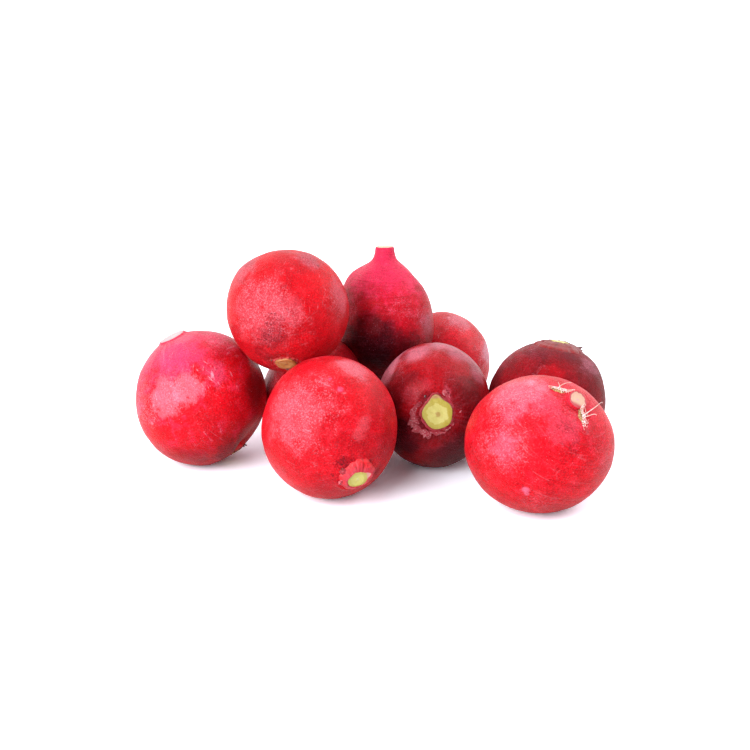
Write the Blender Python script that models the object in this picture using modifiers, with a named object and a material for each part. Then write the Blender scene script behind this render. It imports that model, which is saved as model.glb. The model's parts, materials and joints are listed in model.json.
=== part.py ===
"""A bunch of nine trimmed globe radishes, heaped as on a table: seven on the surface, two on top.

Every radish is one solid, with its tap root cut short at one end. The crown at its other end carries
the cut leaf stalks, a solid of their own. One radish has two tufts of fine rootlets beside its root.
Units: metres. +Z is up, +X is to the right and -Y faces the viewer. The origin is on the surface,
below the middle of the heap.
"""

import math
from typing import NamedTuple

import bmesh
import bpy
from mathutils import Matrix, Vector, noise
from mathutils.bvhtree import BVHTree

MM = 0.001

# The whole heap
CONTACT_GAP = 0.4 * MM  # between an upper radish and each one that carries it
SEAT_GAP = 0.3 * MM  # between the crown's flat seat and the leaf stalks on it
PRESSED_FLAT = 0.2 * MM  # how much of a radish's underside is flattened where it lies
SETTLE_ROUNDS = 30
SETTLE_SPEED = 0.6

# Every radish
SIDES = 30
BODY_ROWS = 13
TIP_SPREAD = 0.42  # radians: how far a drawn-out or dimpled root end reaches down the shoulder
LUMP_HEIGHT = 0.016  # of the radius
LUMP_SIZE = 1.1  # of the radius
NECK_FLARE = 1.45  # foot of the tap root over its cut end, in radius
SEAT_MARGIN = 0.55 * MM  # of the crown's flat seat beyond the stalks
LIP_MARGIN = 1.2 * MM  # of the rounded lip round that seat beyond the stalks
COLLAR_MARGIN = 2.4 * MM  # of the collar, where the shoulder's even curve ends
LIP_SINK = 0.3  # how far the lip follows the seat in or out

# The leaf stalks
STALK_SIDES = 20
CORE_SIZE = 0.62  # radius of the bundle of inner stalks over that of all the stalks
CORE_LOBES = 5
LOBE_HEIGHT = 0.07  # of the core's radius
OUTER_STALK_SIDES = 12
OUTER_STALK_AT = 0.70  # from the axis, over the radius of all the stalks
OUTER_STALK_WIDTH = 0.38  # half width, over the same
OUTER_STALK_DEPTH = 0.25  # half thickness, over the same
OUTER_STALK_LEAN = 0.22  # radians, outwards
OUTER_STALK_HEIGHTS = (0.85, 0.55, 0.70, 0.45)  # over the core's
SEAT_TRIM = 0.01 * MM  # taken off the stalks where they were cut level for the seat
GOLDEN_ANGLE = math.pi * (3 - math.sqrt(5))

# The rootlets
ROOTLET_THICKNESS = 0.62 * MM
ROOTLET_POINTS = 6
ROOTLETS_IN_TUFT = 7
ROOTLET_LENGTH = 3.6 * MM
KNOT_SIZE = Vector((2.1, 1.0, 0.6)) * MM  # half length, width and height of a tuft's woody knot
KNOT_CLEARANCE = 0.35 * MM
TUFT_SPREAD = 1.1  # radians, either side of straight out
TUFT_AT = 0.25  # distance of a tuft from the root's axis, over the radius
TUFT_TURN = math.radians(82)  # of the line through the two tufts, about the root


class Radish(NamedTuple):
    """One radish: lengths in mm, angles in degrees. It points from its crown to its root."""

    name: str
    middle: tuple  # x and y, and z as a first guess for a radish on top of others
    size: tuple  # across X, Y and Z
    heading: float  # of the root end, anticlockwise from +X
    pitch: float  # of the root end, above the horizontal
    roll: float  # of the crown's stalks about the axis
    root_half: float  # length of the root half over the radius
    tip: float  # how far the root end is drawn out, or dimpled if negative, over the radius
    root_radius: float  # of the trimmed tap root
    root_stub: float  # length of the tap root left on
    stalks_radius: float  # of all the cut leaf stalks together
    stalks_height: float
    outer_stalks: int
    recess: float  # how deep the crown's seat lies in the shoulder, or how far it stands out if negative
    carried_by: tuple  # names of the radishes under it, or none where it lies on the surface


RADISHES = (
    Radish("left", (-51.7, -1.2), (39.9, 40.3, 40.9), 152, 61, 200, 0.99, -0.01, 4.1, 0.5, 5.0, 0.9, 6, 0.8, ()),
    Radish("front", (-12.2, -25.8), (39.7, 40.8, 42.1), 110, 20, 20, 1.0, 0.0, 2.1, 1.2, 4.1, 1.3, 4, -1.1, ()),
    Radish("middle", (18.6, -3.6), (34.4, 36.2, 38.2), 94, -15, 80, 1.0, 0.03, 2.0, 2.0, 6.0, 1.5, 7, 0.4, ()),
    Radish("right", (48.5, -35.2), (43.0, 41.2, 39.8), -34, 53, 140, 0.97, -0.02, 2.2, 0.9, 4.6, 1.0, 5, 0.3, ()),
    Radish("far_right", (53.6, 3.9), (36.0, 35.8, 35.5), 233, -73, 30, 0.98, 0.0, 2.2, 0.3, 6.4, 1.4, 8, 0.4, ()),
    Radish("rear", (22.3, 39.8), (31.5, 31.9, 32.2), 242, -12, 60, 1.02, 0.04, 1.9, 1.8, 4.4, 1.8, 5, 0.2, ()),
    Radish("inner", (-18.3, 10.5), (31.1, 31.7, 32.2), -50, -6, 110, 1.0, 0.03, 1.8, 1.2, 4.2, 1.6, 5, 0.2, ()),
    Radish("upper_left", (-25.2, -1.2, 49.5), (36.4, 37.0, 37.0), 88, 41, 10, 0.97, -0.05, 2.0, 0.9, 4.4, 1.1, 5,
           0.5, ("left", "front", "inner")),
    Radish("upper_rear", (4.2, 22.2, 37.0), (29.8, 30.0, 30.1), 92, 80, 75, 1.43, 0.0, 2.8, 4.2, 4.2, 1.5, 4,
           0.2, ("inner", "middle", "rear")),
)
WITH_ROOTLETS = "right"

SKIN_COLOURS = {
    "left": (0.80, 0.030, 0.075),
    "front": (0.80, 0.024, 0.040),
    "middle": (0.36, 0.008, 0.016),
    "right": (0.80, 0.026, 0.048),
    "far_right": (0.33, 0.010, 0.020),
    "rear": (0.60, 0.020, 0.050),
    "inner": (0.55, 0.018, 0.040),
    "upper_left": (0.68, 0.014, 0.028),
    "upper_rear": (0.56, 0.014, 0.045),
}
SHARP_ANGLE = math.radians(40)
SKIN_ROUGHNESS = 0.42
STALK_COLOUR = (0.62, 0.56, 0.14)
STALK_ROUGHNESS = 0.6
ROOTLET_COLOUR = (0.86, 0.78, 0.60)
ROOTLET_ROUGHNESS = 0.8


def material(name, colour, roughness):
    made = bpy.data.materials.new(name)
    made.use_nodes = True
    made.diffuse_color = (*colour, 1)
    shader = made.node_tree.nodes["Principled BSDF"]
    shader.inputs["Base Color"].default_value = (*colour, 1)
    shader.inputs["Roughness"].default_value = roughness
    shader.inputs["Metallic"].default_value = 0
    return made


def radius_of(radish):
    """Mean radius, in metres."""
    return sum(radish.size) / 6 * MM


def facing(radish):
    """Rotation that takes the radish's own axis, +Z towards the root, to where the root points."""
    heading, pitch = math.radians(radish.heading), math.radians(radish.pitch)
    root = Vector((math.cos(pitch) * math.cos(heading), math.cos(pitch) * math.sin(heading), math.sin(pitch)))
    return root.to_track_quat("Z", "Y")


def proportions(radish):
    """In the radish's own frame, the stretch that gives it its measured width, depth and height."""
    turn = facing(radish).to_matrix().to_4x4()
    stretch = Matrix.Diagonal([side * MM / 2 / radius_of(radish) for side in radish.size]).to_4x4()
    return turn.inverted() @ stretch @ turn


def crown_depth(radish, from_axis):
    """How far below the middle the even crown half is, at a distance from the axis."""
    return math.sqrt(radius_of(radish) ** 2 - from_axis**2)


def seat_height(radish):
    return radish.recess * MM - crown_depth(radish, radish.stalks_radius * MM + SEAT_MARGIN)


def body_profile(radish):
    """Half outline of the turned body as (distance from axis, height), from the root's cut to the crown."""
    radius = radius_of(radish)
    root = radish.root_radius * MM
    stalks = radish.stalks_radius * MM
    first = math.asin(NECK_FLARE * root / radius)
    last = math.pi - math.asin((stalks + COLLAR_MARGIN) / radius)
    shoulder = []
    for row in range(BODY_ROWS):
        angle = first + (last - first) * row / (BODY_ROWS - 1)
        half = radish.root_half if angle < math.pi / 2 else 1
        tip = radish.tip * math.exp(-((angle / TIP_SPREAD) ** 2))
        shoulder.append((radius * math.sin(angle), radius * (half * math.cos(angle) + tip)))
    foot = shoulder[0][1]
    cut = foot + radish.root_stub * MM + 0.3 * (NECK_FLARE - 1) * root
    neck = [(0, cut), (root, cut), (1.08 * root, foot + 0.35 * (cut - foot))]
    lip = stalks + LIP_MARGIN
    lip_height = LIP_SINK * radish.recess * MM - crown_depth(radish, lip)
    seat = seat_height(radish)
    return neck + shoulder + [(lip, lip_height), (stalks + SEAT_MARGIN, seat), (0, seat)]


def turned(name, profile, sides):
    """A mesh object turned about Z from a half outline that runs from top to bottom."""
    mesh = bpy.data.meshes.new(name)
    corners = [(r, 0, z) for r, z in profile]
    mesh.from_pydata(corners, [(i, i + 1) for i in range(len(corners) - 1)], [])
    outline = bpy.data.objects.new(name + "_outline", mesh)
    bpy.context.scene.collection.objects.link(outline)
    screw = outline.modifiers.new("turn", "SCREW")
    screw.steps = screw.render_steps = sides
    screw.use_merge_vertices = True
    screw.merge_threshold = 0.01 * MM
    return as_mesh(outline, name)


def as_mesh(source, name):
    """The evaluated mesh of an object as a new object. The source is removed."""
    graph = bpy.context.evaluated_depsgraph_get()
    mesh = bpy.data.meshes.new_from_object(source.evaluated_get(graph))
    mesh.transform(source.matrix_world)
    mesh.name = name
    bpy.data.objects.remove(source)
    made = bpy.data.objects.new(name, mesh)
    bpy.context.scene.collection.objects.link(made)
    return made


def add_lumps(mesh, radish, seed):
    """Pushes the turned body in and out a little, and leaves its root and the crown's seat alone."""
    radius = radius_of(radish)
    crown = radish.stalks_radius * MM + COLLAR_MARGIN
    root = NECK_FLARE * radish.root_radius * MM
    away = Vector((seed * 7.3, seed * 3.1, seed * 5.7))
    for vertex in mesh.vertices:
        point = vertex.co
        from_axis = Vector((point.x, point.y)).length
        fixed = crown if point.z < 0 else root
        fade = min(max((from_axis - fixed) / (0.35 * radius), 0), 1)
        swell = noise.noise(point / (LUMP_SIZE * radius) + away)
        vertex.co = point * (1 + LUMP_HEIGHT * 2 * swell * fade)


def make_body(radish, seed):
    body = turned(radish.name + "_radish", body_profile(radish), SIDES)
    add_lumps(body.data, radish, seed)
    body.data.transform(proportions(radish))
    body.rotation_mode = "QUATERNION"
    body.rotation_quaternion = facing(radish)
    body.location = Vector((radish.middle[0], radish.middle[1], 0)) * MM
    return body


def cut_off(mesh, point, outwards):
    """Removes what lies beyond a plane and closes the cut with one flat face."""
    form = bmesh.new()
    form.from_mesh(mesh)
    everything = form.verts[:] + form.edges[:] + form.faces[:]
    bmesh.ops.bisect_plane(form, geom=everything, plane_co=point, plane_no=outwards, clear_outer=True)
    bmesh.ops.holes_fill(form, edges=[edge for edge in form.edges if edge.is_boundary], sides=0)
    form.to_mesh(mesh)
    form.free()


def lie_on_surface(body):
    """Lowers a radish onto the surface, and flattens the small spot that it lies on."""
    bpy.context.view_layer.update()
    lowest = min((body.matrix_world @ vertex.co).z for vertex in body.data.vertices)
    body.location.z -= lowest + PRESSED_FLAT
    bpy.context.view_layer.update()
    to_body = body.matrix_world.inverted()
    cut_off(body.data, to_body @ Vector((0, 0, 0)), to_body.to_3x3() @ Vector((0, 0, -1)))


def surface(body):
    """Where a radish's corners are in the world, and a search tree of its surface."""
    corners = [body.matrix_world @ vertex.co for vertex in body.data.vertices]
    return corners, BVHTree.FromPolygons(corners, [tuple(face.vertices) for face in body.data.polygons])


def closest(corners, tree):
    """Least distance of some corners from a surface, negative inside it, and the way straight out there."""
    found = []
    for corner in corners:
        place, normal, _, distance = tree.find_nearest(corner)
        found.append((distance if (corner - place).dot(normal) > 0 else -distance, normal))
    return min(found, key=lambda entry: entry[0])


def settle_on(body, supports):
    """Moves an upper radish until it is the contact gap away from each of the three that carry it."""
    below = [surface(support) for support in supports]
    for _ in range(SETTLE_ROUNDS):
        bpy.context.view_layer.update()
        corners, tree = surface(body)
        directions, missing = [], []
        for support_corners, support_tree in below:
            above_gap, out_of_support = closest(corners, support_tree)
            below_gap, out_of_body = closest(support_corners, tree)
            directions.append(out_of_support if above_gap < below_gap else -out_of_body)
            missing.append(CONTACT_GAP - min(above_gap, below_gap))
        body.location += SETTLE_SPEED * (Matrix(directions).inverted() @ Vector(missing))


def joined(name, pieces):
    """One closed body from several that overlap."""
    bpy.context.view_layer.update()
    group = bpy.data.collections.new(name + "_pieces")
    first, *others = pieces
    for piece in others:
        group.objects.link(piece)
    union = first.modifiers.new("join", "BOOLEAN")
    union.operation = "UNION"
    union.operand_type = "COLLECTION"
    union.collection = group
    union.solver = "EXACT"
    made = as_mesh(first, name)
    for piece in others:
        bpy.data.objects.remove(piece)
    bpy.data.collections.remove(group)
    return made


def make_core(radish):
    """The bundle of inner stalks, lobed where each stalk was, with its cut end domed a little."""
    core, height = CORE_SIZE * radish.stalks_radius * MM, radish.stalks_height * MM
    profile = [(0, 0), (1.06 * core, 0), (0.97 * core, -0.55 * height), (0.90 * core, -0.92 * height)]
    profile += [(0.80 * core, -height), (0.40 * core, -1.08 * height), (0, -1.06 * height)]
    made = turned("core", profile, STALK_SIDES)
    for vertex in made.data.vertices:
        around = math.atan2(vertex.co.y, vertex.co.x)
        lobe = 1 + LOBE_HEIGHT * math.cos(CORE_LOBES * around) + 0.05 * math.cos(around)
        vertex.co.x *= lobe
        vertex.co.y *= lobe
    return made


def make_outer_stalk(radish, index):
    """One cut outer stalk: flat in section, leaning out from the core and cut straight across."""
    whole, height = radish.stalks_radius * MM, radish.stalks_height * MM
    tall = height * OUTER_STALK_HEIGHTS[index % len(OUTER_STALK_HEIGHTS)]
    profile = [(0, height), (1, height), (0.95, -0.8 * tall), (0.85, -tall), (0, -tall)]
    made = turned("outer_stalk", profile, OUTER_STALK_SIDES)
    made.data.transform(Matrix.Diagonal((OUTER_STALK_DEPTH * whole, OUTER_STALK_WIDTH * whole, 1, 1)))
    lean = Matrix.Rotation(-OUTER_STALK_LEAN, 4, "Y")
    made.data.transform(Matrix.Translation((OUTER_STALK_AT * whole, 0, 0)) @ lean)
    made.data.transform(Matrix.Rotation(index * GOLDEN_ANGLE, 4, "Z"))
    return made


def make_stalks(radish):
    """All the cut stalks of one crown, standing on its flat seat with a small gap."""
    pieces = [make_core(radish)]
    pieces += [make_outer_stalk(radish, index) for index in range(radish.outer_stalks)]
    stalks = joined(radish.name + "_leaf_stalks", pieces)
    cut_off(stalks.data, Vector((0, 0, -SEAT_TRIM)), Vector((0, 0, 1)))
    stalks.data.transform(Matrix.Rotation(math.radians(radish.roll), 4, "Z"))
    stalks.data.transform(Matrix.Translation((0, 0, seat_height(radish) - SEAT_GAP)))
    stalks.data.transform(proportions(radish))
    return stalks


def make_rootlet(index):
    """One curling rootlet from the knot's middle, as a thin tapered tube."""
    curve = bpy.data.curves.new("rootlet", "CURVE")
    curve.dimensions = "3D"
    curve.bevel_depth = ROOTLET_THICKNESS / 2
    curve.bevel_resolution = 0
    curve.use_fill_caps = True
    spline = curve.splines.new("POLY")
    spline.points.add(ROOTLET_POINTS - 1)
    share = index / (ROOTLETS_IN_TUFT - 1)
    aim = (share - 0.5) * 2 * TUFT_SPREAD
    length = ROOTLET_LENGTH * (1.35 if index == ROOTLETS_IN_TUFT // 2 else 0.6 + 0.3 * noise.noise((index, 0.5, 0.2)))
    start = Vector(((share - 0.5) * 1.5 * KNOT_SIZE.x, 0, 0.2 * KNOT_SIZE.z))
    for step, point in enumerate(spline.points):
        along = step / (ROOTLET_POINTS - 1)
        curl = 0.5 * math.sin(2.4 * along + index)
        reach = length * along
        away = Vector((math.sin(aim + curl), 0.45 * math.cos(index * 2.1) + 0.3 * along, math.cos(aim + curl)))
        point.co = (*(start + away.normalized() * reach), 1)
        point.radius = 1
    rootlet = bpy.data.objects.new("rootlet", curve)
    bpy.context.scene.collection.objects.link(rootlet)
    bpy.context.view_layer.update()
    made = as_mesh(rootlet, "rootlet")
    form = bmesh.new()
    form.from_mesh(made.data)
    bmesh.ops.remove_doubles(form, verts=form.verts, dist=0.01 * MM)
    bmesh.ops.recalc_face_normals(form, faces=form.faces)
    form.to_mesh(made.data)
    form.free()
    return made


def make_knot():
    form = bmesh.new()
    bmesh.ops.create_uvsphere(form, u_segments=12, v_segments=7, radius=1, matrix=Matrix.Diagonal((*KNOT_SIZE, 1)))
    mesh = bpy.data.meshes.new("knot")
    form.to_mesh(mesh)
    form.free()
    knot = bpy.data.objects.new("knot", mesh)
    bpy.context.scene.collection.objects.link(knot)
    return knot


def make_tuft(name, radish, body, around):
    """A tuft of rootlets beside the tap root, standing clear of the skin by its small gap."""
    rootlets = [make_rootlet(index) for index in range(ROOTLETS_IN_TUFT)]
    tuft = joined(name, [make_knot(), *rootlets])
    radius = radius_of(radish)
    from_axis = TUFT_AT * radius
    above = Vector((from_axis * math.cos(around), from_axis * math.sin(around), 2 * radius))
    _, place, normal, _ = body.ray_cast(above, (0, 0, -1))
    lift = KNOT_SIZE.z + KNOT_CLEARANCE
    upright = normal.to_track_quat("Z", "X").to_matrix().to_4x4()
    outward = Matrix.Rotation(around, 4, "Z")
    tuft.data.transform(Matrix.Translation(place + normal * lift) @ upright @ outward)
    return tuft


def finish(piece, own_material, parent, parts):
    """Colours and smooths a finished piece, and files it among the parts."""
    piece.data.materials.clear()
    piece.data.materials.append(own_material)
    piece.data.shade_smooth()
    piece.data.set_sharp_from_angle(angle=SHARP_ANGLE)
    piece.parent = parent
    bpy.context.scene.collection.objects.unlink(piece)
    parts.objects.link(piece)


def stand_over_origin(bunch, bodies):
    """Moves the whole heap so that the origin is below the middle of its box."""
    bpy.context.view_layer.update()
    points = [body.matrix_world @ vertex.co for body in bodies for vertex in body.data.vertices]
    for axis in (0, 1):
        along = [point[axis] for point in points]
        bunch.location[axis] = -(min(along) + max(along)) / 2


def build():
    for old in list(bpy.data.objects):
        bpy.data.objects.remove(old)
    parts = bpy.data.collections.new("radish_bunch")
    bpy.context.scene.collection.children.link(parts)
    bunch = bpy.data.objects.new("radish_bunch", None)
    parts.objects.link(bunch)
    bodies = {}
    for seed, radish in enumerate(RADISHES):
        body = make_body(radish, seed)
        bodies[radish.name] = body
        if radish.carried_by:
            body.location.z = radish.middle[2] * MM
            settle_on(body, [bodies[name] for name in radish.carried_by])
        else:
            lie_on_surface(body)
        finish(body, material(radish.name + "_skin", SKIN_COLOURS[radish.name], SKIN_ROUGHNESS), bunch, parts)
        stalks = make_stalks(radish)
        finish(stalks, material(stalks.name, STALK_COLOUR, STALK_ROUGHNESS), body, parts)
        if radish.name == WITH_ROOTLETS:
            for side, turn in (("upper", 0), ("lower", math.pi)):
                tuft = make_tuft(f"{radish.name}_rootlets_{side}", radish, body, TUFT_TURN + turn)
                finish(tuft, material(tuft.name, ROOTLET_COLOUR, ROOTLET_ROUGHNESS), body, parts)
    stand_over_origin(bunch, bodies.values())


build()
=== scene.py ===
# Bunch of radishes: the fine surface, crowns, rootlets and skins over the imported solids
import bpy
import json
import math
from mathutils import Euler, Matrix, Vector, noise
from mathutils.bvhtree import BVHTree

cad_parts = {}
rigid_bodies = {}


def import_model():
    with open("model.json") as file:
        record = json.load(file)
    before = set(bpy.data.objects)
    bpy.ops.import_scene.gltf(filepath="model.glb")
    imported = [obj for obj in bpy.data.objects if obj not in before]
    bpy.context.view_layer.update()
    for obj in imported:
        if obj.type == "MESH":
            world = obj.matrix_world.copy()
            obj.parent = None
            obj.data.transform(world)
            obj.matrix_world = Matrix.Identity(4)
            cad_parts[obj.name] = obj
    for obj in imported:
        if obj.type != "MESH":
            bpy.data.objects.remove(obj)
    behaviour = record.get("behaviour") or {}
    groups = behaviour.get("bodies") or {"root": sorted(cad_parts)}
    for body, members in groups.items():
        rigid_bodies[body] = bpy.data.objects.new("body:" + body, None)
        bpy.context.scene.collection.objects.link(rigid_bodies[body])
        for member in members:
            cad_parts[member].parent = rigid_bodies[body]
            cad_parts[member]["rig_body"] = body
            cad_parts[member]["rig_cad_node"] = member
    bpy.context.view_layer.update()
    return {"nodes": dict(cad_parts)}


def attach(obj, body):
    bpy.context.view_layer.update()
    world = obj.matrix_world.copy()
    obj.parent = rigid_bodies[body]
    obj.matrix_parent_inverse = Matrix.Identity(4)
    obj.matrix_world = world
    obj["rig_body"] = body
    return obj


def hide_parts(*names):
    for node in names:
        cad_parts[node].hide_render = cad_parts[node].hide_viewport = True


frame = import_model()
mm = 0.001
bpy.context.scene.view_settings.view_transform = "Standard"
print("solids loaded:", len(frame["nodes"]))

cameraSettings = {
    "target": Vector((1.012, 18.279, 20.0)) * mm,  # below the middle of the picture
    "distance": 0.6425,
    "elevation": math.radians(21.39),
    "lens": 98.93,
    "sensor": 36.0,
    "pixels": 750,
}


def viewTurn():
    # from the view's right, up and near to the heap's directions
    return Euler((math.pi / 2 - cameraSettings["elevation"], 0, 0)).to_matrix()


def makeCamera(s):
    back = Vector((0, -math.cos(s["elevation"]), math.sin(s["elevation"])))
    bpy.ops.object.camera_add(location=s["target"] + back * s["distance"],
                              rotation=(math.pi / 2 - s["elevation"], 0, 0))
    camera = bpy.context.object
    camera.name = "photoCamera"
    camera.data.lens = s["lens"]
    camera.data.sensor_width = s["sensor"]
    camera.data.clip_start = 0.01
    bpy.context.scene.camera = camera
    return camera


camera = makeCamera(cameraSettings)
print("camera set")


def rayThrough(pixel, s):
    # from the camera through a pixel of the picture
    focal = s["lens"] / s["sensor"] * s["pixels"]
    half = s["pixels"] / 2
    aim = Vector(((pixel[0] - half) / focal, (half - pixel[1]) / focal, -1)).normalized()
    return camera.location.copy(), viewTurn() @ aim


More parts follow.
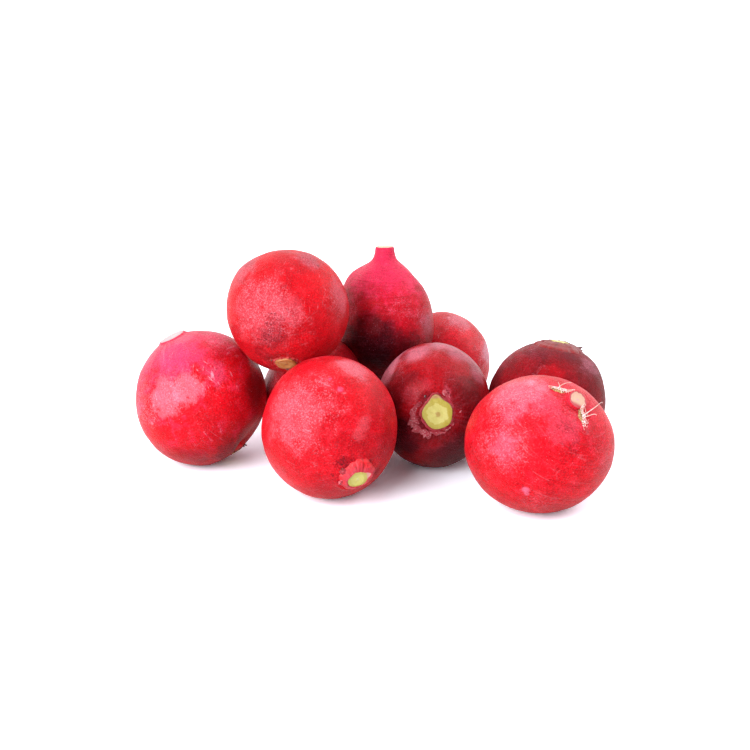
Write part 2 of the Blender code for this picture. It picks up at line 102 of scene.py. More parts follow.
# middle and size in mm, the way of the root in degrees and the height of the crown's seat, as in the solids
# rootLean (degrees), rootShift (mm) and rootWiden tilt, move and widen the root's cut; flesh scales the cut's rings
# skin: bright, deep, pink and pale colours, where pink starts (-1 crown, 1 root), and how much of each mark
# dents: pixel, move along the view's right, up and near (mm), reach (mm)
# worn (scratches), pale specks and haze (dust, and painted sheen where they lie on highlights) and soiled (dark
# specks): pixel, reach over the radius, strength
# spots: pixel, reach over the radius, colour, strength, grain, and how soft the edge is; some are real tints, some
# painted highlights, sheens and shade, as marked in the lists
usualRadish = {"dents": [], "worn": [], "soiled": [], "rootLean": 0, "rootShift": (0, 0, 0), "rootWiden": 1,
    "flesh": 1}
# one of the skin's marks is painted shade, darker towards the crown's side
usualSkin = {"mottle": 0.5, "scuffs": 0.5, "lines": 0.3, "dirt": 0.5, "streaks": 0.4, "coat": 0.02, "rough": 0.36,
    "dusk": 0.2}
radishes = {
    "left": {
        "slot": "bright_red_skin", "middle": (-51.74, -1.07, 20.24), "size": (39.9, 40.3, 40.9), "heading": 152,
        "pitch": 61, "seat": -18.61, "rootRadius": 4.1, "rootLean": 9, "seed": 1,
        "skin": {"bright": (0.58, 0.003, 0.01), "deep": (0.46, 0.0018, 0.006), "pink": (0.58, 0.03, 0.085),
            "pale": (0.62, 0.24, 0.32), "pinkFrom": 0.3, "mottle": 0.8, "scuffs": 1.0, "lines": 0.35, "dirt": 0.7,
            "streaks": 0.9, "rough": 0.34, "dusk": 0.35},
        "dents": [((253, 436), (-1.9, 1.4, 0), 11), ((243, 450), (-1.1, 0.9, 0), 7), ((262, 405), (0.3, 0, 0), 7)],
        "worn": [((205, 380), 0.36, 1.0), ((213, 435), 0.24, 0.8), ((232, 382), 0.14, 0.8), ((228, 345), 0.3, 0.6)],
        "dusty": [((143, 408), 0.5, 0.7), ((218, 338), 0.36, 0.8), ((172, 392), 0.44, 0.6)],
        "soiled": [((226, 450), 0.42, 1.0), ((196, 458), 0.34, 0.5), ((244, 438), 0.28, 1.0),
            ((172, 386), 0.36, 0.3)],
        "spots": [((180, 356), 0.46, (0.58, 0.034, 0.105), 0.75, 5), ((215, 372), 0.26, (0.58, 0.05, 0.12), 0.6, 8),
            # painted highlight, partly paler skin: the pale pink patches at (166, 396) and (188, 388)
            ((166, 396), 0.36, (0.62, 0.1, 0.145), 0.65, 7, 0.35),
            ((188, 388), 0.26, (0.62, 0.11, 0.16), 0.65, 8, 0.3), ((203, 345), 0.14, (0.5, 0.004, 0.012), 0.8, 9),
            ((196, 366), 0.1, (0.52, 0.004, 0.012), 0.7, 9), ((150, 372), 0.16, (0.52, 0.006, 0.02), 0.6, 9),
            ((226, 408), 0.34, (0.58, 0.0028, 0.009), 0.8, 4), ((228, 452), 0.34, (0.2, 0.005, 0.01), 0.55, 7),
            # painted shade: the dark spot at (256, 388) on the right limb, next to the neighbours
            ((195, 458), 0.3, (0.3, 0.01, 0.02), 0.5, 7), ((256, 388), 0.4, (0.16, 0.0008, 0.002), 0.75, 3),
            ((222, 352), 0.2, (0.36, 0.003, 0.01), 0.6, 8), ((184, 338), 0.2, (0.62, 0.1, 0.16), 0.5, 6)],
    },
    "front": {
        "slot": "bright_red_skin", "middle": (-12.24, -25.67, 20.8), "size": (39.7, 40.8, 42.1), "heading": 110,
        "pitch": 20, "seat": -21.0, "rootRadius": 2.1, "seed": 2,
        "skin": {"bright": (0.58, 0.0032, 0.01), "deep": (0.47, 0.0026, 0.008), "pink": (0.57, 0.024, 0.045),
            "pale": (0.62, 0.2, 0.26), "pinkFrom": 0.45, "mottle": 0.6, "scuffs": 0.7, "lines": 0.25, "dirt": 0.15,
            "streaks": 0.12},
        "dents": [((268, 440), (-0.4, -0.2, 0), 8), ((360, 430), (0, 0, 0.85), 4.6)],
        "worn": [((326, 381), 0.16, 0.7), ((362, 403), 0.14, 0.5), ((382, 460), 0.16, 0.6)],
        "dusty": [((300, 408), 0.8, 0.85), ((352, 366), 0.42, 0.9), ((283, 478), 0.35, 0.6)],
        "soiled": [((344, 463), 0.24, 1.0), ((336, 474), 0.16, 0.9), ((367, 464), 0.1, 0.9)],
        # painted highlight: the broad paler patch at (292, 412)
        "spots": [((292, 412), 0.58, (0.6, 0.055, 0.08), 0.6, 7), ((352, 366), 0.34, (0.6, 0.12, 0.16), 0.7, 6),
            ((330, 378), 0.045, (0.58, 0.08, 0.22), 0.8, 5), ((340, 388), 0.06, (0.58, 0.06, 0.14), 0.8, 5),
            # painted highlight on the bulge: the spots at (362, 424) and (357, 435)
            ((356, 402), 0.28, (0.58, 0.0026, 0.008), 0.7, 5), ((362, 424), 0.16, (0.6, 0.055, 0.075), 0.7, 5),
            ((357, 435), 0.13, (0.6, 0.055, 0.075), 0.6, 5), ((345, 462), 0.15, (0.14, 0.004, 0.008), 0.6, 14),
            # painted shade: the darker bottom at (330, 492)
            ((330, 492), 0.5, (0.38, 0.008, 0.016), 0.6, 4), ((384, 448), 0.36, (0.24, 0.0024, 0.007), 0.55, 4),
            ((374, 474), 0.16, (0.22, 0.004, 0.01), 0.6, 7), ((275, 475), 0.3, (0.58, 0.07, 0.11), 0.5, 6)],
    },
    "middle": {
        "slot": "dark_red_skin", "middle": (18.56, -3.47, 18.54), "size": (34.4, 36.2, 38.2), "heading": 94,
        "pitch": -15, "seat": -16.51, "rootRadius": 2.0, "seed": 3,
        "skin": {"bright": (0.28, 0.0012, 0.004), "deep": (0.15, 0.0008, 0.003), "pink": (0.32, 0.009, 0.018),
            "pale": (0.45, 0.13, 0.18), "pinkFrom": 0.6, "mottle": 0.4, "scuffs": 0.35, "dirt": 0.2,
            "streaks": 0.35, "coat": 0.06, "rough": 0.34, "dusk": 0.0},
        "worn": [((411, 392), 0.22, 0.6)],
        "dusty": [((395, 364), 0.42, 0.8), ((436, 348), 0.3, 0.6), ((470, 362), 0.28, 0.5)],
        "soiled": [((430, 398), 0.14, 1.0), ((408, 424), 0.16, 0.8), ((456, 405), 0.1, 0.9)],
        # painted sheen: the pale pinkish band along the top, spots at (388, 368) to (385, 378)
        "spots": [((388, 368), 0.48, (0.42, 0.115, 0.155), 0.9, 3, 0.25),
            ((418, 352), 0.34, (0.42, 0.105, 0.145), 0.8, 3), ((456, 352), 0.34, (0.4, 0.085, 0.12), 0.8, 3),
            ((476, 372), 0.28, (0.34, 0.07, 0.1), 0.7, 3), ((401, 354), 0.32, (0.42, 0.11, 0.15), 0.7, 3),
            ((438, 345), 0.3, (0.42, 0.11, 0.15), 0.7, 3), ((470, 357), 0.28, (0.36, 0.09, 0.125), 0.7, 3),
            ((385, 378), 0.22, (0.38, 0.09, 0.12), 0.7, 3), ((412, 394), 0.2, (0.3, 0.022, 0.034), 0.5, 12),
            # painted shade: the dark spot at (459, 388) on the right side
            ((426, 382), 0.14, (0.3, 0.018, 0.03), 0.4, 14), ((459, 388), 0.44, (0.15, 0.0008, 0.003), 0.75, 3),
            ((447, 398), 0.1, (0.38, 0.045, 0.07), 0.75, 8), ((446, 391), 0.09, (0.38, 0.045, 0.07), 0.7, 8),
            # painted shade: the dark spots at (395, 398), (472, 402), (400, 440), (455, 455), (430, 428) and (404,
            # 424), on the sides and the lower half under the crown
            ((445, 385), 0.06, (0.38, 0.045, 0.07), 0.6, 8), ((395, 398), 0.3, (0.1, 0.0006, 0.002), 0.8, 3),
            ((472, 402), 0.52, (0.11, 0.0006, 0.002), 0.85, 3), ((400, 440), 0.6, (0.05, 0.0008, 0.004), 0.9, 3),
            ((455, 455), 0.6, (0.05, 0.0008, 0.004), 0.85, 3), ((430, 428), 0.46, (0.08, 0.0006, 0.002), 0.8, 3),
            # painted reflection: the lighter spot at (434, 444), light thrown up from below into the shaded lower half
            ((434, 444), 0.16, (0.22, 0.001, 0.004), 0.75, 3), ((404, 424), 0.14, (0.05, 0.001, 0.003), 0.8, 9)],
    },
    "right": {
        "slot": "bright_red_skin", "middle": (48.46, -35.07, 19.65), "size": (43.0, 41.2, 39.8), "heading": -34,
        "pitch": 53, "seat": -19.71, "rootRadius": 2.3, "flesh": 0.97, "rootWiden": 1.3, "rootLean": 16,
        "rootShift": (-1.1, 0.5, 0.2), "seed": 4,
        "skin": {"bright": (0.57, 0.003, 0.01), "deep": (0.47, 0.0026, 0.008), "pink": (0.56, 0.028, 0.058),
            "pale": (0.62, 0.24, 0.31), "pinkFrom": 0.68, "scuffs": 0.14, "lines": 1.0, "streaks": 0.2},
        "dents": [((562, 391), (0, -0.3, -0.5), 3.2), ((584, 416), (-0.1, -0.1, -0.5), 3.0),
            ((588, 392), (0.3, 0.3, 0.3), 2.8)],
        "worn": [((494, 412), 0.3, 0.5), ((560, 440), 0.25, 0.6), ((538, 383), 0.25, 0.9), ((519, 416), 0.1, 0.9)],
        "dusty": [((500, 445), 0.55, 0.45), ((515, 392), 0.6, 0.8), ((470, 470), 0.35, 0.6), ((540, 505), 0.4, 0.5),
            ((608, 460), 0.4, 0.3)],
        "soiled": [((566, 425), 0.16, 0.7), ((576, 448), 0.16, 0.6), ((540, 408), 0.16, 0.5),
            ((534, 424), 0.1, 0.6)],
        # painted sheen, partly paler root-end skin: the pale pink spots at (530, 381), (542, 386) and (551, 392) along
        # the top
        "spots": [((518, 390), 0.55, (0.6, 0.085, 0.135), 0.7, 6), ((530, 381), 0.16, (0.6, 0.2, 0.28), 0.6, 7),
            ((542, 386), 0.13, (0.6, 0.2, 0.28), 0.6, 7), ((551, 392), 0.1, (0.6, 0.18, 0.26), 0.5, 7),
            # painted highlight: the pink patch at (502, 446)
            ((502, 446), 0.32, (0.6, 0.06, 0.105), 0.65, 7), ((510, 412), 0.3, (0.58, 0.05, 0.09), 0.6, 8),
            ((568, 428), 0.36, (0.52, 0.035, 0.065), 0.7, 8), ((546, 402), 0.34, (0.57, 0.055, 0.1), 0.6, 7),
            # painted highlight: the small pale drop at (525, 489) and (526, 493)
            ((577, 399), 0.19, (0.52, 0.006, 0.02), 0.95, 3), ((525, 489), 0.075, (0.6, 0.12, 0.21), 0.75, 3),
            ((526, 493), 0.05, (0.6, 0.12, 0.21), 0.6, 3), ((540, 470), 0.45, (0.52, 0.004, 0.012), 0.5, 5),
            ((484, 437), 0.03, (0.6, 0.2, 0.34), 0.8, 9), ((475, 425), 0.2, (0.42, 0.002, 0.006), 0.7, 4),
            ((532, 424), 0.13, (0.38, 0.004, 0.01), 0.5, 9), ((598, 436), 0.26, (0.42, 0.004, 0.01), 0.5, 4),
            ((609, 462), 0.3, (0.46, 0.018, 0.032), 0.6, 5), ((545, 494), 0.25, (0.46, 0.005, 0.012), 0.5, 5)],
    },
    "far_right": {
        "slot": "dark_red_skin", "middle": (53.56, 4.03, 17.37), "size": (36.0, 35.8, 35.5), "heading": 233,
        "pitch": -73, "seat": -16.08, "rootRadius": 2.2, "seed": 5,
        "skin": {"bright": (0.19, 0.0012, 0.004), "deep": (0.12, 0.0008, 0.0025), "pink": (0.23, 0.008, 0.015),
            "pale": (0.38, 0.12, 0.16), "pinkFrom": 0.8, "scuffs": 0.3, "dirt": 0.4, "streaks": 0.5, "coat": 0.0,
            "rough": 0.42, "dusk": 0.0},
        "dents": [((592, 364), (0.45, 0.5, 0), 9)],
        "dusty": [((590, 368), 0.35, 0.9), ((504, 362), 0.3, 0.7), ((525, 352), 0.3, 0.5)],
        "soiled": [((541, 360), 0.2, 1.0), ((568, 356), 0.2, 0.9), ((520, 356), 0.3, 0.6), ((556, 352), 0.3, 0.6)],
        "spots": [((552, 372), 0.28, (0.36, 0.0016, 0.005), 0.7, 4),
            ((540, 352), 0.3, (0.12, 0.006, 0.012), 0.7, 6), ((566, 354), 0.3, (0.12, 0.005, 0.01), 0.7, 6),
            # painted sheen: the pale spot at (590, 366) on the right shoulder
            ((590, 366), 0.3, (0.24, 0.06, 0.085), 0.7, 4), ((498, 374), 0.25, (0.1, 0.003, 0.006), 0.6, 4)],
    },
    "rear": {
        "slot": "red_skin", "middle": (22.26, 39.93, 15.92), "size": (31.5, 31.9, 32.2), "heading": 242,
        "pitch": -12, "seat": -14.94, "rootRadius": 1.9, "seed": 6,
        "skin": {"bright": (0.6, 0.004, 0.014), "deep": (0.5, 0.003, 0.01), "pink": (0.58, 0.03, 0.055),
            "pale": (0.62, 0.26, 0.32), "pinkFrom": 0.4, "dirt": 0.6, "coat": 0.12},
        "dusty": [((484, 350), 0.5, 1.0), ((455, 322), 0.4, 0.9)],
        # painted sheen: both spots, pale bands along the upper right edge and the top
        "spots": [((486, 352), 0.3, (0.6, 0.22, 0.29), 0.8, 4, 0.5),
            ((460, 322), 0.34, (0.56, 0.12, 0.16), 0.7, 5)],
    },
    "inner": {
        "slot": "red_skin", "middle": (-18.34, 10.63, 16.1), "size": (31.1, 31.7, 32.2), "heading": -50,
        "pitch": -6, "seat": -14.9, "rootRadius": 1.8, "seed": 7,
        "skin": {"bright": (0.55, 0.004, 0.012), "deep": (0.4, 0.0028, 0.008), "pink": (0.54, 0.026, 0.045),
            "pale": (0.6, 0.22, 0.27), "pinkFrom": 0.3, "dirt": 0.6, "coat": 0.08},
        "dents": [((352, 350), (2.6, 3.1, 0.5), 12)],
        "dusty": [((272, 375), 0.4, 1.0), ((332, 346), 0.3, 0.6)],
        # painted sheen at (270, 372) on the left edge, and painted shade at (364, 362) in the gap between the radishes
        "spots": [((270, 372), 0.3, (0.56, 0.16, 0.2), 0.7, 4), ((364, 362), 0.4, (0.1, 0.001, 0.003), 0.8, 3)],
    },
    "upper_left": {
        "slot": "red_skin", "middle": (-25.01, -0.66, 48.32), "size": (36.4, 37.0, 37.0), "heading": 88,
        "pitch": 41, "seat": -17.22, "rootRadius": 2.0, "seed": 8,
        "skin": {"bright": (0.52, 0.0024, 0.007), "deep": (0.4, 0.0016, 0.005), "pink": (0.46, 0.016, 0.026),
            "pale": (0.58, 0.2, 0.25), "pinkFrom": 0.7, "lines": 0.25, "streaks": 0.25},
        "dents": [((288, 251), (0, -0.5, 0), 5.5), ((238, 268), (-0.7, 0.6, 0), 9)],
        "worn": [((302, 335), 0.3, 0.4), ((262, 292), 0.2, 0.8)],
        "dusty": [((262, 308), 0.75, 0.8), ((290, 318), 0.4, 0.7), ((245, 268), 0.45, 0.7), ((305, 256), 0.35, 0.7),
            ((338, 300), 0.45, 0.7)],
        "soiled": [((273, 322), 0.24, 0.9), ((270, 340), 0.32, 1.0), ((280, 334), 0.2, 0.9),
            ((252, 345), 0.2, 0.5)],
        # painted highlight, partly dusty skin: the pinkish patches at (258, 312) and (288, 312)
        "spots": [((258, 312), 0.62, (0.42, 0.026, 0.04), 0.7, 5, 0.35),
            ((288, 312), 0.28, (0.46, 0.04, 0.058), 0.65, 5, 0.25),
            # painted shade: the darker top at (292, 258)
            ((292, 258), 0.55, (0.34, 0.003, 0.008), 0.7, 4), ((244, 270), 0.4, (0.32, 0.03, 0.045), 0.7, 4),
            ((308, 258), 0.34, (0.36, 0.04, 0.06), 0.7, 4), ((272, 336), 0.3, (0.22, 0.01, 0.018), 0.55, 8),
            ((263, 307), 0.032, (0.45, 0.002, 0.006), 0.9, 3), ((303, 257), 0.03, (0.16, 0.01, 0.02), 0.8, 3),
            # painted sheen: the pale spot at (340, 292) on the right side
            ((318, 265), 0.04, (0.14, 0.01, 0.02), 0.9, 3), ((340, 292), 0.34, (0.54, 0.06, 0.085), 0.7, 4),
            ((262, 352), 0.24, (0.24, 0.002, 0.006), 0.6, 4)],
    },
    "upper_rear": {
        "slot": "red_skin", "middle": (4.17, 22.3, 34.17), "size": (29.8, 30.0, 30.1), "heading": 92, "pitch": 80,
        "seat": -14.01, "rootRadius": 2.8, "seed": 9,
        "skin": {"bright": (0.48, 0.003, 0.012), "deep": (0.34, 0.0018, 0.007), "pink": (0.6, 0.022, 0.075),
            "pale": (0.58, 0.2, 0.29), "pinkFrom": 0.55, "scuffs": 0.1, "lines": 0.6, "dirt": 0.2, "streaks": 0.0,
            "dusk": 0.8},
        "dents": [((346, 284), (-1.3, 0.3, 0), 8.0), ((356, 268), (-0.7, 0.7, 0), 6.0),
            ((414, 272), (-0.7, -0.6, 0), 7.0), ((380, 376), (0.3, -2.8, 0), 9)],
        "dusty": [((424, 318), 0.4, 0.9), ((350, 310), 0.35, 0.9), ((400, 308), 0.4, 0.4)],
        "soiled": [((346, 326), 0.2, 0.5), ((422, 322), 0.2, 0.5), ((414, 290), 0.15, 0.5)],
        # painted highlight: the small pale spot at (384, 284) on the shoulder
        "spots": [((384, 284), 0.11, (0.6, 0.16, 0.24), 0.8, 3), ((384, 266), 0.34, (0.6, 0.026, 0.085), 0.6, 6),
            # painted shade: the dark spots at (372, 345), (370, 326) and (405, 345), over the lower part in the heap's
            # shade
            ((398, 300), 0.34, (0.5, 0.006, 0.018), 0.7, 6), ((372, 345), 0.9, (0.035, 0.0008, 0.003), 0.97, 3),
            ((370, 326), 0.36, (0.14, 0.001, 0.004), 0.7, 4), ((348, 290), 0.34, (0.56, 0.02, 0.05), 0.6, 4),
            ((379, 256), 0.1, (0.2, 0.04, 0.03), 0.8, 6), ((375, 263), 0.08, (0.24, 0.04, 0.035), 0.7, 6),
            ((369, 270), 0.06, (0.34, 0.07, 0.06), 0.6, 9), ((346, 312), 0.3, (0.52, 0.016, 0.035), 0.75, 4),
            ((426, 325), 0.3, (0.36, 0.06, 0.085), 0.6, 5), ((405, 345), 0.5, (0.1, 0.0015, 0.004), 0.8, 4)],
    },
}
for radish in radishes.values():
    radish["skin"] = {**usualSkin, **radish["skin"]}
    for key, value in usualRadish.items():
        radish.setdefault(key, value)


def radiusOf(radish):
    return sum(radish["size"]) / 6 * mm


def turnOf(radish):
    heading, pitch = math.radians(radish["heading"]), math.radians(radish["pitch"])
    root = Vector((math.cos(pitch) * math.cos(heading), math.cos(pitch) * math.sin(heading), math.sin(pitch)))
    return root.to_track_quat("Z", "Y")


def placing(radish):
    # from the radish's own frame, root end up, to its place in the heap
    radius = radiusOf(radish)
    stretch = Matrix.Diagonal([side * mm / 2 / radius for side in radish["size"]]).to_4x4()
    return Matrix.Translation(Vector(radish["middle"]) * mm) @ stretch @ turnOf(radish).to_matrix().to_4x4()


def seenAt(radish, pixel):
    # where the picture's pixel falls on the radish, in its own frame with a radius of 1
    start, aim = rayThrough(pixel, cameraSettings)
    into = placing(radish).inverted()
    start, aim = into @ start, into.to_3x3() @ aim
    nearest = start + aim * (-start.dot(aim) / aim.length_squared)
    inside = max(radiusOf(radish) ** 2 - nearest.length_squared, 0)
    return (nearest - aim.normalized() * math.sqrt(inside)).normalized()


def heapPlace(radish, pixel):
    return placing(radish) @ (seenAt(radish, pixel) * radiusOf(radish))


def objectMode():
    bpy.ops.object.mode_set(mode="OBJECT")


def editAll():
    bpy.ops.object.mode_set(mode="EDIT")
    bpy.ops.mesh.select_all(action="SELECT")


def selectOnly(*things):
    if bpy.context.object and bpy.context.object.mode != "OBJECT":
        objectMode()
    bpy.ops.object.select_all(action="DESELECT")
    for thing in things:
        thing.select_set(True)
    bpy.context.view_layer.objects.active = things[0]


def editFaces(thing, chosen):
    # edit mode with only the faces selected that the test picks
    selectOnly(thing)
    bpy.ops.object.mode_set(mode="EDIT")
    bpy.ops.mesh.select_mode(type="FACE")
    bpy.ops.mesh.select_all(action="DESELECT")
    objectMode()
    for face in thing.data.polygons:
        face.select = chosen(face)
    bpy.ops.object.mode_set(mode="EDIT")


def applyAll(thing):
    selectOnly(thing)
    for modifier in list(thing.modifiers):
        bpy.ops.object.modifier_apply(modifier=modifier.name)


def subdivide(thing, levels):
    soft = thing.modifiers.new("soften", "SUBSURF")
    soft.levels = soft.render_levels = levels


def displace(thing, size, strength, middle=0.5):
    # size and strength in mm
    texture = bpy.data.textures.new(thing.name + "Relief", "CLOUDS")
    texture.noise_scale = size * mm
    texture.noise_depth = 2
    relief = thing.modifiers.new("relief", "DISPLACE")
    relief.texture = texture
    relief.texture_coords = "LOCAL"
    relief.strength = strength * mm
    relief.mid_level = middle


def keepAboveFloor(thing):
    for vertex in thing.data.vertices:
        vertex.co.z = max(vertex.co.z, 0)


def putInPlace(thing, matrix):
    thing.data.transform(matrix)
    keepAboveFloor(thing)
    thing.data.update()


def joinAll(things, name):
    selectOnly(*things)
    bpy.ops.object.join()
    bpy.context.object.name = name
    return bpy.context.object


def dress(thing, material, node):
    thing.data.materials.clear()
    thing.data.materials.append(material)
    selectOnly(thing)
    bpy.ops.object.shade_smooth_by_angle(angle=math.radians(50))
    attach(thing, "root")
    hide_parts(node)


def rgba(colour):
    return (*colour, 1.0)


def newGroup(name, inputs, outputs):
    # the sockets' names are given by kind
    group = bpy.data.node_groups.new(name, "ShaderNodeTree")
    for way, sockets in (("INPUT", inputs), ("OUTPUT", outputs)):
        for kind, labels in sockets.items():
            for label in labels.split():
                group.interface.new_socket(name=label, in_out=way, socket_type="NodeSocket" + kind)
    return group, group.nodes.new("NodeGroupInput").outputs, group.nodes.new("NodeGroupOutput").inputs


def feed(tree, socket, value):
    if isinstance(value, bpy.types.NodeSocket):
        tree.links.new(value, socket)
    elif value is not None:
        socket.default_value = value


def mathNode(tree, operation, *values, clamp=False):
    node = tree.nodes.new("ShaderNodeMath")
    node.operation = operation
    node.use_clamp = clamp
    for socket, value in zip(node.inputs, values):
        feed(tree, socket, value)
    return node.outputs[0]


def times(tree, first, *others):
    for other in others:
        first = mathNode(tree, "MULTIPLY", first, other)
    return first


def timesPlus(tree, first, second, third, clamp=False):
    return mathNode(tree, "MULTIPLY_ADD", first, second, third, clamp=clamp)


def wandering(tree, pattern, amount, value):
    # a value led to and fro by a noise pattern
    return timesPlus(tree, mathNode(tree, "SUBTRACT", pattern, 0.5), amount, value)


def vectorNode(tree, operation, first, second=None, scale=None):
    node = tree.nodes.new("ShaderNodeVectorMath")
    node.operation = operation
    feed(tree, node.inputs[0], first)
    feed(tree, node.inputs[1], second)
    if scale is not None:
        feed(tree, node.inputs["Scale"], scale)
    return node.outputs["Value" if operation in ("LENGTH", "DISTANCE") else "Vector"]


def splitVector(tree, vector):
    node = tree.nodes.new("ShaderNodeSeparateXYZ")
    feed(tree, node.inputs[0], vector)
    return node.outputs


def joinVector(tree, *values):
    node = tree.nodes.new("ShaderNodeCombineXYZ")
    for socket, value in zip(node.inputs, values):
        feed(tree, socket, value)
    return node.outputs[0]


def noiseNode(tree, vector, scale, detail, rough, distortion=0.0):
    node = tree.nodes.new("ShaderNodeTexNoise")
    for label, value in (("Vector", vector), ("Scale", scale), ("Detail", detail), ("Roughness", rough),
                         ("Distortion", distortion)):
        feed(tree, node.inputs[label], value)
    return node.outputs["Fac"]


def between(tree, value, low, high, toLow=0.0, toHigh=1.0):
    node = tree.nodes.new("ShaderNodeMapRange")
    node.interpolation_type = "SMOOTHSTEP"
    for socket, given in zip(node.inputs, (value, low, high, toLow, toHigh)):
        feed(tree, socket, given)
    return node.outputs[0]


def mixColour(tree, factor, first, second, blend="MIX"):
    node = tree.nodes.new("ShaderNodeMix")
    node.data_type = "RGBA"
    node.blend_type = blend
    node.clamp_factor = True
    for index, value in ((0, factor), (6, first), (7, second)):
        feed(tree, node.inputs[index], value)
    return node.outputs[2]


def layer(tree, colour, mask, amount, tint):
    return mixColour(tree, mask if amount == 1 else times(tree, mask, amount), colour, tint)


def stretched(tree, vector, scale, turn=(0, 0, 0)):
    node = tree.nodes.new("ShaderNodeMapping")
    for label, value in (("Vector", vector), ("Rotation", turn), ("Scale", scale)):
        feed(tree, node.inputs[label], value)
    return node.outputs["Vector"]


def groupNode(tree, group, **values):
    node = tree.nodes.new("ShaderNodeGroup")
    node.node_tree = group
    for label, value in values.items():
        feed(tree, node.inputs[label], value)
    return node


# each mark on the skin, in the order they lie on it: how strongly it covers, and its tint
skinLayers = {
    "mottled": (0.45, "Pink"), "rootPink": (0.8, "Pink"), "streaks": (0.35, "Pale"), "darkStreaks": (0.7, "Deep"),
    "lines": (0.6, "Deep"), "paleLines": (0.13, "Pale"), "scuffs": (0.8, "Pale"), "specks": (1, "Pale"),
    "haze": (0.09, "Pale"), "palePores": (0.5, "Pale"), "darkPores": (0.75, "Deep"),
    "grit": (0.85, (0.045, 0.004, 0.007)), "crownDirt": (0.75, (0.10, 0.012, 0.014)),
}
# noise: scale, detail, roughness, distortion, and the range of values over which its mask comes in
skinPatterns = {
    "broad": (1.5, 3, 0.55, 0.4, 0.40, 0.60),
    "lines": (1.3, 3, 0.6, 0.5, 0.55, 0.66), "paleLines": (1.2, 3, 0.65, 0.6, 0.58, 0.68),
    "scuffs": (1, 3, 0.6, 0.8, 0.60, 0.68), "crossScuffs": (1, 3, 0.6, 0.8, 0.61, 0.69),
    "scuffedParts": (2.6, 3, 0.6, 0, 0.53, 0.66), "dustyParts": (2.1, 4, 0.6, 0, 0.42, 0.62),
    "specks": (40, 4, 0.75, 0, 0.51, 0.61), "grit": (44, 4, 0.75, 0, 0.49, 0.60),
    "crownDirt": (24, 4, 0.7, 0, 0.42, 0.66),
}
# how a pattern is drawn thin, and its turn (radians)
skinStretch = {
    "lines": ((1.3, 1.3, 17.0),), "paleLines": ((1.7, 1.7, 23.0),),
    "scuffs": ((3, 40, 5), (0.5, 0.4, 0.7)), "crossScuffs": ((36, 4, 6), (1.1, 0.2, 0.3)),
}
skinRelief = {"grain": 0.65, "lumps": 0.80, "streaks": 0.5, "lines": -0.5, "pores": -0.35, "scuffs": 0.25}
# the tint multiplied in for the painted shade on the crown's side
paintedShadeTint = (0.22, 0.22, 0.24)


